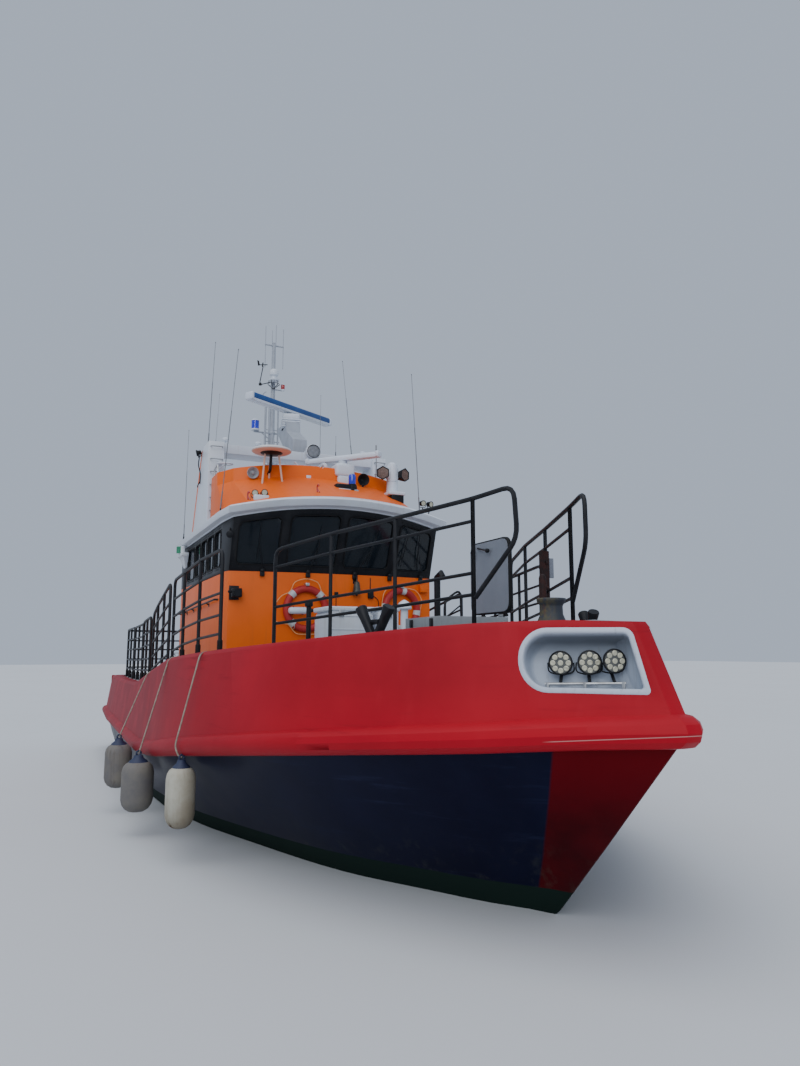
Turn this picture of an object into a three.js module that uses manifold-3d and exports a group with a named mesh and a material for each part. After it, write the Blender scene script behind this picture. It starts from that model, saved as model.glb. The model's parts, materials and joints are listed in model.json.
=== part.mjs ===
// A 17 m all-weather lifeboat: hard chine hull with a deep fender belt, a wheelhouse with a flying bridge,
// a radar arch and a mast. Millimetres. +X is forward, +Y is to port, +Z is up.
// The origin is on the centreline amidships, at the water.
import * as THREE from "three";
import { mergeVertices } from "three/addons/utils/BufferGeometryUtils.js";
import Module from "manifold-3d";

const wasm = await Module();
wasm.setup();

// Driving dimensions
const FLOAT_LIGHT = 45; // heights below are over the design waterline, and the boat floats this much above it
const GAP = 0.4; // between fitted pieces
const DECK_DROP = 20; // deck below the top of the belt
const DECK_CAMBER = 70;
const BELT_TOP_WIDTH = 240;
const ROLL_DEPTH = 110; // how far the roll stands out amidships
const ROLL_DEPTH_BOW = 70; // added to it at the stem
const PAD_HALF = 68; // half the width of the stem pad
const TRANSOM_X = -8450;
const STERN_ROLL = 190; // how far the belt stands out behind the transom
const KEEL_BOTTOM = -1780;
const SHAFT_Y = 1250;
const SHAFT_Z = -1180;
const SHAFT_R = 45;
const BEARING_R = SHAFT_R + 0.55;
const PROP_X = -6600;
const RUDDER_X = -7500;
const HOUSE_HALF = 1790; // half the width of the wheelhouse
const HOUSE_AFT = -3500;
const HOUSE_FRONT = 950;
const SILL_Z = 3500;
const HEAD_Z = 4290; // top of the window band at the sides
const ROOF_CAMBER = 200;
const HEAD_LEAN = 0.42; // forward lean of the front windows for each unit up
const WALL = 80;
const ROOF_T = 175;
const ROOF_Z = HEAD_Z + ROOF_T;
const RAIL_R = 24;

// How far the lines of the hull lie ahead of the top line at the stem
const RAKE = { keel: -1530, chine: -1380, water: -1230, flank: -530, roll: 510 };

// columns: x, rake, heading, sheerY, sheerZ, rollY, rollZ, rollH, waterY, chineY, chineZ, keelZ
// rake is 1 at the stem and 0 amidships, heading is the turn of the deck edge from the centreline in degrees
const STATIONS = [
  [TRANSOM_X, 0, 0, 2520, 1690, 2700, 970, 190, 2420, 2350, -150, -910],
  [-8100, 0, 0, 2650, 1690, 2850, 970, 190, 2480, 2400, -160, -920],
  [-5500, 0, 0, 2740, 1690, 2950, 970, 190, 2600, 2480, -170, -980],
  [-1600, 0, 0, 2800, 1735, 2985, 970, 190, 2620, 2470, -170, -1050],
  [300, 0, 0, 2800, 1972, 2990, 975, 195, 2500, 2360, -175, -1060],
  [1800, 0, 4, 2770, 2160, 2990, 1090, 205, 2230, 2040, -190, -1050],
  [3000, 0.05, 10, 2650, 2235, 2920, 1235, 215, 1900, 1680, -220, -1030],
  [5000, 0.2, 22, 2140, 2350, 2410, 1460, 230, 1290, 1060, -260, -930],
  [6300, 0.42, 34, 1500, 2445, 1720, 1600, 240, 720, 540, -270, -800],
  [7100, 0.62, 40, 960, 2500, 1150, 1690, 250, 390, 280, -230, -600],
  [7700, 0.85, 45, 450, 2515, 570, 1765, 250, 150, 110, -170, -430],
  [8130, 1, 90, PAD_HALF, 2495, PAD_HALF, 1800, 250, 9, 14, -110, -260],
].map(([x, rake, heading, sheerY, sheerZ, rollY, rollZ, rollH, waterY, chineY, chineZ, keelZ]) => {
  const out = [Math.sin((heading * Math.PI) / 180), Math.cos((heading * Math.PI) / 180)];
  return { x, rake, out, sheerY, sheerZ, rollY, rollZ, rollH, waterY, chineY, chineZ, keelZ };
});

// Meshes and solids
const meshOf = (points, faces) => {
  const geometry = new THREE.BufferGeometry();
  geometry.setAttribute("position", new THREE.Float32BufferAttribute(points.flat(), 3));
  geometry.setIndex(faces.flat());
  return geometry;
};

const solid = (geometry) => {
  const bare = geometry.clone();
  bare.deleteAttribute("normal");
  bare.deleteAttribute("uv");
  const merged = mergeVertices(bare, 1e-3);
  const vertProperties = new Float32Array(merged.attributes.position.array);
  const triVerts = new Uint32Array(merged.index.array);
  return new wasm.Manifold(new wasm.Mesh({ numProp: 3, vertProperties, triVerts }));
};

const geometryOf = (body) => {
  const mesh = body.getMesh();
  const geometry = new THREE.BufferGeometry();
  geometry.setAttribute("position", new THREE.BufferAttribute(mesh.vertProperties, 3));
  geometry.setIndex(new THREE.BufferAttribute(mesh.triVerts, 1));
  return geometry;
};

const join = (...bodies) => bodies.reduce((a, b) => a.add(b));

// Sections joined end to end; each cap is filled by rungs across it, from a point (apex) or from an edge
const ladder = (n, apex) => {
  const faces = [];
  let a = 0;
  let b = n - 1;
  if (apex) {
    faces.push([0, 1, n - 1]);
    a = 1;
  }
  while (b - a > 1) {
    faces.push([a, a + 1, b]);
    if (b - a > 2) faces.push([a + 1, b - 1, b]);
    a += 1;
    b -= 1;
  }
  return faces;
};

const loft = (rings, apex = false) => {
  const n = rings[0].length;
  const faces = [];
  for (let r = 0; r + 1 < rings.length; r += 1) {
    for (let i = 0; i < n; i += 1) {
      const j = (i + 1) % n;
      const [a, b, c, d] = [r * n + i, r * n + j, (r + 1) * n + j, (r + 1) * n + i];
      if (apex && i >= n / 2) faces.push([a, b, d], [b, c, d]);
      else faces.push([a, b, c], [a, c, d]);
    }
  }
  const last = (rings.length - 1) * n;
  for (const [a, b, c] of ladder(n, apex)) {
    faces.push([a, c, b], [last + a, last + b, last + c]);
  }
  const body = solid(meshOf(rings.flat(), faces));
  if (body.volume() > 0) return body;
  const turned = faces.map(([a, b, c]) => [a, c, b]);
  return solid(meshOf(rings.flat(), turned));
};

const box = (x0, x1, y0, y1, z0, z1) => {
  const geometry = new THREE.BoxGeometry(x1 - x0, y1 - y0, z1 - z0);
  return solid(geometry.translate((x0 + x1) / 2, (y0 + y1) / 2, (z0 + z1) / 2));
};

// An outline of [x, z] points carried across from y0 to y1
const plate = (outline, y0, y1) => {
  const shape = new THREE.Shape(outline.map(([x, z]) => new THREE.Vector2(x, z)));
  const geometry = new THREE.ExtrudeGeometry(shape, { depth: y1 - y0, bevelEnabled: false });
  return solid(geometry.rotateX(Math.PI / 2).translate(0, y1, 0));
};

// An outline of [x, y] points carried up from z0 to z1
const column = (outline, z0, z1) => {
  const shape = new THREE.Shape(outline.map(([x, y]) => new THREE.Vector2(x, y)));
  const geometry = new THREE.ExtrudeGeometry(shape, { depth: z1 - z0, bevelEnabled: false });
  return solid(geometry.translate(0, 0, z0));
};

// A round bar of the given sides from point a to point b, with its own radius at each end
const bar = (a, b, ra, rb = ra, sides = 12) => {
  const start = new THREE.Vector3(...a);
  const way = new THREE.Vector3(...b).sub(start);
  const geometry = new THREE.CylinderGeometry(rb, ra, way.length(), sides);
  geometry.translate(0, way.length() / 2, 0);
  geometry.applyQuaternion(new THREE.Quaternion().setFromUnitVectors(new THREE.Vector3(0, 1, 0),
    way.normalize()));
  return solid(geometry.translate(...a));
};

// A tube through the given points, mitred at each of them
const pipe = (points, r, sides = 6) => {
  const p = points.map((q) => new THREE.Vector3(...q));
  const ways = p.slice(1).map((q, i) => q.clone().sub(p[i]).normalize());
  const first = Math.abs(ways[0].z) > 0.9 ? new THREE.Vector3(1, 0, 0) : new THREE.Vector3(0, 0, 1);
  let side = first.clone().cross(ways[0]).normalize();
  const rings = p.map((q, i) => {
    const way = ways[Math.max(i - 1, 0)];
    const next = ways[Math.min(i, ways.length - 1)];
    const cut = way.clone().add(next).normalize();
    const up = way.clone().cross(side);
    const ring = [];
    for (let k = 0; k < sides; k += 1) {
      const turn = ((k + 0.5) * 2 * Math.PI) / sides;
      const v = side.clone().multiplyScalar(r * Math.cos(turn)).addScaledVector(up, r * Math.sin(turn));
      v.addScaledVector(way, -v.dot(cut) / way.dot(cut));
      ring.push(v.add(q).toArray());
    }
    side = side.clone().addScaledVector(next, -side.dot(next)).normalize();
    return ring;
  });
  return loft(rings);
};

const mix = (a, b, t) => a + (b - a) * t;
const mirrored = (body) => body.mirror([0, 1, 0]);
const SIDES = [["starboard", -1], ["port", 1]];

// Hull
const deckEdge = (s, grow = 0) => {
  const width = BELT_TOP_WIDTH - grow;
  const y = s.rake === 1 ? 12 + grow : s.sheerY - width * s.out[1];
  return [s.x - width * s.out[0], y, s.sheerZ - DECK_DROP + grow];
};

const rollDepth = (s) => ROLL_DEPTH + ROLL_DEPTH_BOW * s.rake;

const rollPoint = (s, inset, z) => {
  const y = s.rollY - inset * s.out[1];
  return [s.x + RAKE.roll * s.rake - inset * s.out[0], y, z];
};

const hullRing = (s, grow) => {
  const camber = DECK_CAMBER * (1 - 0.6 * s.rake);
  const knuckle = rollPoint(s, rollDepth(s) + 20 - grow, s.rollZ - s.rollH);
  if (s.rake === 1) knuckle[1] = 12 + grow;
  const hollow = 60 * Math.min(1, s.rake * 3) * (1 - s.rake);
  const side = [
    [s.x + RAKE.chine * s.rake, s.chineY + grow, s.chineZ - grow],
    [s.x + RAKE.water * s.rake, s.waterY + grow, 0],
    [s.x + RAKE.flank * s.rake, (s.waterY + knuckle[1]) / 2 - hollow + grow, knuckle[2] * 0.45],
    knuckle,
    deckEdge(s, grow),
  ];
  const edge = deckEdge(s, grow);
  return [
    [s.x + RAKE.keel * s.rake, 0, s.keelZ - grow],
    ...side.map(([x, y, z]) => [x, -y, z]),
    [edge[0], 0, edge[2] + camber],
    ...side.reverse(),
  ];
};

// More rings between those of the stations, on curves that never swing past them. The flat bow face has none
const FAIR_FROM = 1500; // forward of this the lines curve
const FAIR_STEP = 430;
const STRAIGHT_STEP = 2600;
const faired = (rings) => {
  const at = STATIONS.map((s) => s.x);
  const last = rings.length - 1;
  const slope = (i, p, k) => (rings[i + 1][p][k] - rings[i][p][k]) / (at[i + 1] - at[i]);
  const tangent = (i, p, k) => {
    if (i === 0) return slope(0, p, k);
    if (i === last) return slope(last - 1, p, k);
    const [a, b] = [slope(i - 1, p, k), slope(i, p, k)];
    return a * b > 0 ? (2 * a * b) / (a + b) : 0;
  };
  const out = [];
  for (let i = 0; i < last; i += 1) {
    const span = at[i + 1] - at[i];
    const steps = i === last - 1 ? 1 : Math.ceil(span / (at[i] > FAIR_FROM ? FAIR_STEP : STRAIGHT_STEP));
    for (let step = 0; step < steps; step += 1) {
      const t = step / steps;
      const [a, b, c, d] = [2 * t ** 3 - 3 * t ** 2 + 1, t ** 3 - 2 * t ** 2 + t, 3 * t ** 2 - 2 * t ** 3,
        t ** 3 - t ** 2];
      out.push(
        rings[i].map((point, p) =>
          point.map((v, k) => a * v + c * rings[i + 1][p][k] + span * (b * tangent(i, p,
            k) + d * tangent(i + 1, p, k))),
        ),
      );
    }
  }
  return [...out, rings[last]];
};

const hullBody = (grow) => {
  const rings = faired(STATIONS.map((s) => hullRing(s, grow)));
  rings[0] = rings[0].map(([x, y, z]) => [x - grow, y, z]);
  rings[rings.length - 1] = rings[rings.length - 1].map(([x, y, z]) => [x + grow, y, z]);
  return loft(rings, true);
};

const hullSolid = hullBody(0);
const hullSpace = hullBody(GAP);

// Fender belt: a leaning face over a round roll, in two halves, with a stem pad between and a stern length
const ROLL_TURNS = [-90, -60, -30, 0, 30, 60, 90];
const beltRing = (s) => {
  const depth = rollDepth(s);
  const middle = s.rollZ - s.rollH / 2;
  const roll = ROLL_TURNS.map((turn) => {
    const angle = (turn * Math.PI) / 180;
    return rollPoint(s, depth * 0.9 * (1 - Math.cos(angle)), middle + (s.rollH / 2) * Math.sin(angle));
  });
  const inner = rollPoint(s, depth + 80, s.rollZ - s.rollH);
  if (s.rake === 1) inner[1] = PAD_HALF;
  const lip = deckEdge(s, GAP);
  if (s.rake === 1) lip[1] = PAD_HALF;
  const top = (inset, drop) => [s.x - inset * s.out[0], s.sheerY - inset * s.out[1], s.sheerZ - drop];
  return [inner, ...roll, top(0, 45), top(40, 0), [lip[0], lip[1], s.sheerZ]];
};

const beltHalf = loft(faired(STATIONS.map(beltRing))).subtract(hullSpace);

const stem = STATIONS[STATIONS.length - 1];
const padOutline = beltRing(stem).map(([x, , z]) => [x, z]);
const stemPad = plate(padOutline, -PAD_HALF + GAP, PAD_HALF - GAP).subtract(hullSpace);

const sternRing = (y, out) => {
  const s = STATIONS[0];
  const middle = s.rollZ - s.rollH / 2;
  const back = TRANSOM_X - GAP;
  const roll = ROLL_TURNS.map((turn) => {
    const angle = (turn * Math.PI) / 180;
    return [back - out + out * 0.6 * (1 - Math.cos(angle)), y, middle + (s.rollH / 2) * Math.sin(angle)];
  });
  return [[back, y, s.rollZ - s.rollH], ...roll, [back - out * 0.3, y, s.sheerZ - 45], [back, y, s.sheerZ]];
};
// columns: y, how far the roll stands out
const STERN_RUN = [[-2640, 60], [-2350, STERN_ROLL], [2350, STERN_ROLL], [2640, 60]];
const beltStern = loft(STERN_RUN.map(([y, out]) => sternRing(y, out)));

// Bow lamp recess: a tray let into each bow face, with three lamps on a bar
const FACE_TURN = (40.7 * Math.PI) / 180; // of the bow face from the centreline
const FACE_TILT = (21 * Math.PI) / 180; // of the bow face from upright
const FACE_CORNER = [8130, PAD_HALF, 2495]; // top corner of the face at the stem
const RECESS_DEPTH = 200;
// columns: distance along the face from its corner at the stem (aft is negative), height over the waterline
const RECESS = [
  [-900, 2240], [-850, 2370], [-730, 2425], [-90, 2425], [-30, 2370], [85, 2020], [50, 1975], [-680, 1975],
    [-840, 2060],
];

const facePoint = (along, z, depth) => {
  const drop = (FACE_CORNER[2] - z) * Math.tan(FACE_TILT) - depth * Math.cos(FACE_TILT);
  return [
    FACE_CORNER[0] + Math.cos(FACE_TURN) * along + Math.sin(FACE_TURN) * drop,
    FACE_CORNER[1] - Math.sin(FACE_TURN) * along + Math.cos(FACE_TURN) * drop,
    z - Math.sin(FACE_TILT) * depth,
  ];
};

// How far forward along the face a point may lie at this height and depth, clear of the stem pad
const recessLimit = (z, depth, grow) => {
  const drop = (FACE_CORNER[2] - z) * Math.tan(FACE_TILT);
  const side = FACE_CORNER[1] + Math.cos(FACE_TURN) * (drop - depth * Math.cos(FACE_TILT));
  return (side - (PAD_HALF + 27 - 1.1 * grow)) / Math.sin(FACE_TURN);
};

const recessBody = (grow, front, back) => {
  const middle = [-400, 2200];
  const ring = (depth) =>
    RECESS.map(([along, z]) => {
      const scale = 1 + grow / Math.hypot(along - middle[0], z - middle[1]);
      const height = middle[1] + (z - middle[1]) * scale;
      const reach = middle[0] + (along - middle[0]) * scale;
      return facePoint(Math.min(reach, recessLimit(height, depth, grow)), height, depth);
    });
  return loft([front, 0, back / 2, back].map(ring));
};

const TRAY_WALL = 12;
const recessCut = recessBody(TRAY_WALL + GAP, -300, RECESS_DEPTH + TRAY_WALL + GAP);
const trayBody = recessBody(TRAY_WALL, -14, RECESS_DEPTH + TRAY_WALL).subtract(recessBody(0, -20,
  RECESS_DEPTH));

const beltPort = beltHalf.subtract(recessCut);
const beltSpace = mirrored(beltPort).add(mirrored(beltPort).translate([0, -GAP, 0]));

const LAMP_R = 88;
// columns: distance along the face, height, depth, turn of the lamp from forward to starboard in degrees
const LAMPS = [[-620, 2200, 90, 40], [-370, 2205, 95, 26], [-160, 2215, 105, 12]];
const LAMP_BAR = [[-720, 2045, 130], [-80, 2060, 130]];

const lampRow = () => {
  const barEnds = LAMP_BAR.map((p) => facePoint(...p));
  let body = bar(barEnds[0], barEnds[1], 14, 14, 4);
  for (const [along, z, depth, turn] of LAMPS) {
    const at = facePoint(along, z, depth);
    const angle = (turn * Math.PI) / 180;
    const way = [Math.cos(angle), Math.sin(angle)];
    const back = [at[0] - way[0] * 60, at[1] - way[1] * 60, at[2]];
    const t = (along - LAMP_BAR[0][0]) / (LAMP_BAR[1][0] - LAMP_BAR[0][0]);
    const foot = barEnds[0].map((c, i) => mix(c, barEnds[1][i], t));
    body = join(body, bar(back, at, LAMP_R * 0.8, LAMP_R, 8), bar(foot, back, 16, 16, 4));
  }
  for (const t of [0.03, 0.5, 0.97]) {
    const foot = barEnds[0].map((c, i) => mix(c, barEnds[1][i], t));
    const wall = facePoint(mix(LAMP_BAR[0][0], LAMP_BAR[1][0], t), 2020, RECESS_DEPTH - GAP);
    body = join(body, bar(foot, wall, 12, 12, 4));
  }
  return body;
};
const bowLamps = lampRow().intersect(recessBody(-1, -60, RECESS_DEPTH - GAP));

// Under water: centre skeg, shaft keels, shafts, propellers and rudders
const skeg = plate(
  [[-6800, -700], [-6800, KEEL_BOTTOM], [-1000, KEEL_BOTTOM], [3600, -1150], [3600, -800]],
  -90,
  90,
).subtract(hullSpace);

const shaftKeel = plate([[-5900, -400], [-5900, -1500], [-4600, -1500], [-2200, -900], [-2200, -400]], -70,
  70)
  .translate([0, SHAFT_Y, 0])
  .add(bar([-5960, SHAFT_Y, SHAFT_Z], [-5000, SHAFT_Y, SHAFT_Z], 85, 60, 12))
  .subtract(hullSpace)
  .subtract(bar([-6000, SHAFT_Y, SHAFT_Z], [-5400, SHAFT_Y, SHAFT_Z], BEARING_R, BEARING_R, 32));

const shaft = bar([PROP_X + 120 + GAP, SHAFT_Y, SHAFT_Z], [-5410, SHAFT_Y, SHAFT_Z], SHAFT_R, SHAFT_R, 16);

const BLADES = 5;
const BLADE_PITCH = 32; // degrees
const BLADE = [[-70, 60], [-150, 170], [-160, 320], [-60, 440], [70, 440], [150, 320], [120, 170], [70, 60]];
const propeller = (hand) => {
  let body = bar([PROP_X + 120, 0, 0], [PROP_X - 120, 0, 0], 95, 80, 12).add(
    bar([PROP_X - 120, 0, 0], [PROP_X - 230, 0, 0], 80, 20, 12),
  );
  for (let k = 0; k < BLADES; k += 1) {
    const shape = new THREE.Shape(BLADE.map(([a, r]) => new THREE.Vector2(a, r)));
    const geometry = new THREE.ExtrudeGeometry(shape, { depth: 22, bevelEnabled: false });
    geometry.translate(0, 0, -11).rotateX(Math.PI / 2);
    geometry.rotateZ((hand * (90 - BLADE_PITCH) * Math.PI) / 180);
    geometry.rotateX((k * 2 * Math.PI) / BLADES).translate(PROP_X, 0, 0);
    body = body.add(solid(geometry));
  }
  return body.translate([0, SHAFT_Y, SHAFT_Z]);
};

// columns: distance behind the stock, half thickness
const RUDDER_SECTION = [[190, 12], [120, 45], [0, 55], [-200, 40], [-430, 8]];
const rudderOutline = [
  ...RUDDER_SECTION.map(([x, t]) => [RUDDER_X + x, SHAFT_Y - t]),
  ...RUDDER_SECTION.map(([x, t]) => [RUDDER_X + x, SHAFT_Y + t]).reverse(),
];
const RUDDER_TOP = -660;
const RUDDER_FOOT = -1640;
const STOCK_TOP = -320;
const rudder = column(rudderOutline, RUDDER_FOOT, RUDDER_TOP).add(
  bar([RUDDER_X, SHAFT_Y, RUDDER_TOP - 20], [RUDDER_X, SHAFT_Y, STOCK_TOP], 45, 45, 16),
);
const stockBore = bar([RUDDER_X, SHAFT_Y, -800], [RUDDER_X, SHAFT_Y, STOCK_TOP + GAP], 46.5, 46.5, 16);

// Deck fittings forward. The hatch is hinged along its port side and stands open
const HATCH = { aft: 4560, fore: 5440, half: 430, top: 2640, wall: 45, hinge: 460 };
const LID = { t: 55, half: 450, height: 900, corner: 110, foot: 2665 };
// columns: ends of the barrels fixed to the coaming, along the hinge
const COAMING_BARRELS = [[4700, 4800], [5200, 5300]];
const HINGE_R = 16;
const hatchHinge = (x0, x1) => bar([x0, HATCH.hinge, LID.foot], [x1, HATCH.hinge, LID.foot], HINGE_R,
  HINGE_R, 10);

const hatchCoaming = (() => {
  const { aft, fore, half, top, wall, hinge } = HATCH;
  let body = box(aft, fore, -half, half, 2250, top).subtract(
    box(aft + wall, fore - wall, wall - half, half - wall, 2200, top + 50),
  );
  for (const [x0, x1] of COAMING_BARRELS) {
    const foot = box(x0, x1, half - 10, hinge + 10, top - 80, top - 5);
    body = join(body, hatchHinge(x0, x1), foot, box(x0, x1, hinge - 13, hinge + 10, top - 20, LID.foot));
  }
  return body.subtract(hullSpace);
})();

const lidBody = (() => {
  const middle = (HATCH.aft + HATCH.fore) / 2;
  const { half, height, corner, t, foot } = LID;
  const y = HATCH.hinge - HINGE_R;
  const outline = [
    [middle - half, foot + 18], [middle + half, foot + 18], [middle + half, foot + height - corner],
    [middle + half - corner, foot + height], [middle - half + corner, foot + height], [middle - half,
      foot + height - corner],
  ];
  let body = plate(outline, y, y + t);
  for (const [x0, x1] of COAMING_BARRELS) {
    const [a, b] = [x1 + GAP, x1 + 80];
    body = join(body, hatchHinge(a, b), box(a, b, y, y + 20, foot, foot + 60));
  }
  return body;
})();

// columns: height, radius
const SAMSON = [[2300, 190], [2500, 150], [2600, 108], [2680, 105], [2725, 138], [2750, 138]];
const samsonPost = SAMSON.slice(1)
  .map(([z, r], i) => bar([6900, 0, SAMSON[i][0]], [6900, 0, z], SAMSON[i][1], r, 16))
  .reduce((body, step) => body.add(step))
  .subtract(hullSpace);

const bitts = (side) => {
  const [x, y] = [5740, side * 1300];
  const reach = 190;
  return join(
    box(x - 120, x + 120, y - 90, y + 90, 2200, 2445),
    bar([x - 50, y, 2430], [x - reach, y, 2680], 38, 44, 8),
    bar([x + 50, y, 2430], [x + reach, y, 2680], 38, 44, 8),
  ).subtract(hullSpace);
};

const lockerOutline = [[-1240, 2100], [-660, 2100], [-660, 2680], [-730, 2790], [-1170, 2790], [-1240, 2680]];
const foredeckLocker = (() => {
  const rings = [3600, 4150].map((x) => lockerOutline.map(([y, z]) => [x, y, z]));
  return loft(rings).subtract(hullSpace);
})();

const ventPost = join(
  bar([2050, 1250, 2050], [2050, 1250, 3330], 50, 50, 10),
  pipe([[2050, 1250, 3280], [2050, 1250, 3400], [2180, 1250, 3450], [2250, 1250, 3380]], 50, 8),
).subtract(hullSpace);

// Rails: each section is a row of stanchions with level tubes between them
const railSection = (posts, levels, tips) => {
  let body = null;
  const add = (part) => {
    body = body ? body.add(part) : part;
  };
  for (const [x, y, foot, top] of posts) add(bar([x, y, foot - 120], [x, y, top], RAIL_R, RAIL_R, 4));
  for (const share of levels) {
    const path = posts.map(([x, y, foot, top]) => [x, y, mix(foot, top, share)]);
    if (tips) {
      path.unshift(...tips.fore(path[0], share));
      path.push(...tips.aft(path[path.length - 1], share));
    }
    add(pipe(path, share === 1 ? RAIL_R : RAIL_R * 0.75, 4));
  }
  return body;
};

// The belt and the hull, grown a little, so that what stands on their joint is fitted to both
const railBed = () => hullSpace.add(beltSpace).add(beltSpace.translate([0, 0,
  GAP])).add(beltSpace.translate([0, GAP, 0]));

// columns: x, y, deck, top of the rail; starboard side, mirrored to port
const BOW_POSTS = [[6450, -570, 2450, 3730], [5440, -950, 2400, 3665], [4440, -1320, 2330, 3610], [3465,
  -1710, 2260, 3515]];
// From the foremost post forward and up, round the tip
const BOW_TIP = [[6470, -562, 2740], [6905, -395, 3230], [6945, -382, 3320], [6935, -392, 3640], [6915,
  -402, 3725], [6840, -425, 3765]];
const bowRail = (() => {
  const [x, y, , top] = BOW_POSTS[BOW_POSTS.length - 1];
  const topPath = [
    ...BOW_TIP,
    ...BOW_POSTS.slice(0, -1).map(([px, py, , pz]) => [px, py, pz]),
    [x + 135, y + 55, top + 50],
    [x + 25, y + 10, top + 10],
    [x, y, top - 110],
  ];
  return railSection(BOW_POSTS, [0.28, 0.44, 0.83]).add(pipe(topPath, RAIL_R + 1, 5)).subtract(railBed());
})();

// Each section is a list of posts. columns: x, y, deck, top
const SIDE_POSTS = [
  [[3300, -2335, 2232, 3515], [2500, -2455, 2184, 3455], [1650, -2520, 2121, 3365], [880, -2540, 2025, 3315]],
  [[450, -2540, 1971, 3305], [-200, -2540, 1890, 3180], [-950, -2535, 1796, 3040], [-1480, -2530, 1730,
    2915]],
  [[-1900, -2525, 1712, 2880], [-2500, -2520, 1705, 2855], [-3050, -2515, 1698, 2825]],
  [[-3350, -2490, 1690, 2800], [-4250, -2470, 1680, 2790], [-5150, -2450, 1680, 2780]],
  [[-5300, -2450, 1680, 2780], [-6200, -2430, 1680, 2780], [-7150, -2400, 1680, 2780]],
];
const SIDE_LEVELS = [0.19, 0.37, 0.58, 0.78, 1];
const sideRail = (() => {
  const feet = SIDE_POSTS.flat().map(([x, y, deck]) => [x, y, deck - 5]);
  let body = pipe([[3380, -2322, 2237], ...feet, [-7230, -2395, 1680]], 40, 4);
  for (const posts of SIDE_POSTS) body = body.add(railSection(posts, SIDE_LEVELS));
  return body.subtract(railBed());
})();

const STERN_POSTS = [[-7300, -2390], [-7900, -2330], [-8150, -2050], [-8200, -1000]];
const sternRail = (() => {
  const posts = [...STERN_POSTS, ...STERN_POSTS.map(([x, y]) => [x, -y]).reverse()];
  const path = posts.map(([x, y]) => [x, y, 1680, 2780]);
  const feet = posts.map(([x, y]) => [x, y, 1675]);
  return railSection(path, SIDE_LEVELS).add(pipe(feet, 40,
    4)).subtract(railBed()).subtract(mirrored(railBed()));
})();

// Wheelhouse. columns: y, x at the foot and sill, lean of the window band forward for each unit up
const halfFront = [[1790, 500, 0.12], [1730, 800, 0.34], [930, 915, 0.4], [0, HOUSE_FRONT, HEAD_LEAN]];
const FRONT = [
  ...halfFront.map(([y, sill, lean]) => [-y, sill, lean]),
  ...halfFront.slice(0, 3).reverse(),
];
const camberAt = (y) => ROOF_CAMBER * (1 - (y / HOUSE_HALF) ** 2);
const houseRow = (z, grow) => FRONT.map(([y, sill, lean]) => [sill + lean * Math.max(0,
  z(y) - SILL_Z) + grow, y]);
const aftRow = (grow) => FRONT.map(([y]) => [HOUSE_AFT + (Math.abs(y) > 1750 ? 90 : 0) - grow, y]).reverse();
// A ring round the house at height z, moved out by grow; a cambered ring rises to the centreline as the
// roof does
const houseRing = (height, grow = 0, cambered = false) => {
  const z = (y) => height + (cambered ? camberAt(y) : 0);
  return [...houseRow(z, grow), ...aftRow(grow)].map(([x, y]) => [x, y * (1 + grow / HOUSE_HALF), z(y)]);
};
// All that lies under the cambered surface at height z
const CAMBER_ROWS = [-2300, ...FRONT.map(([y]) => y), 2300];
const camberSpace = (height) => {
  const outline = [[2300, 1000], [-2300, 1000], ...CAMBER_ROWS.map((y) => [y, height + camberAt(y)])];
  return loft([-5000, 3000].map((x) => outline.map(([y, z]) => [x, y, z])));
};

const DOOR = { half: 350, sill: 1950, top: 3840, t: 45, gap: 5 };
const doorway = box(HOUSE_AFT - 100, HOUSE_AFT + 200, -DOOR.half, DOOR.half, DOOR.sill, DOOR.top);
const DOOR_HINGE = [HOUSE_AFT - 24, -DOOR.half - 4];
// columns: foot of the wall's barrel, top of the wall's barrel; the door's barrel stands between two of them
const BARRELS = [[2200, 2260], [2320, 2380], [3420, 3480]];
const wallHinge = (z0, z1) => {
  const [x, y] = DOOR_HINGE;
  return bar([x, y, z0], [x, y, z1], 14, 14, 10).add(box(x - 4, HOUSE_AFT + 6, y - 40, y, z0, z1));
};

const houseLower = loft([houseRing(1600), houseRing(SILL_Z)])
  .subtract(loft([houseRing(1500, -WALL), houseRing(SILL_Z, -WALL), houseRing(SILL_Z + 10, -WALL)]))
  .subtract(doorway)
  .add(wallHinge(2200, 2280))
  .add(wallHinge(3300, 3380))
  .subtract(hullSpace);

// The space inside the leaning planes of the window band, moved out by grow
const bandSpace = (grow) => loft([houseRing(SILL_Z, grow), houseRing(HEAD_Z + 500, grow)]);
const under = (z) => box(-6000, 4000, -4000, 4000, 0, z);
let windowBand = bandSpace(0)
  .intersect(camberSpace(HEAD_Z))
  .subtract(under(SILL_Z + GAP))
  .subtract(bandSpace(-WALL))
  .subtract(doorway);

// columns: y of the pane's two sides, on the front
const FRONT_PANES = [[-1640, -1010], [-860, -70], [70, 860], [1010, 1640]];
const PANE_SILL = SILL_Z + 110;
const PANE_MARGIN = 100;
for (const [y0, y1] of FRONT_PANES) {
  const z0 = HEAD_Z - PANE_MARGIN + camberAt(y0);
  const z1 = HEAD_Z - PANE_MARGIN + camberAt(y1);
  const c = 50;
  const pane = [
    [y0 + c, PANE_SILL], [y1 - c, PANE_SILL], [y1, PANE_SILL + c], [y1, z1 - c], [y1 - c, z1], [y0 + c, z0],
    [y0, z0 - c], [y0, PANE_SILL + c],
  ];
  windowBand = windowBand.subtract(loft([200, 1800].map((x) => pane.map(([y, z]) => [x, y, z]))));
}
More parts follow.
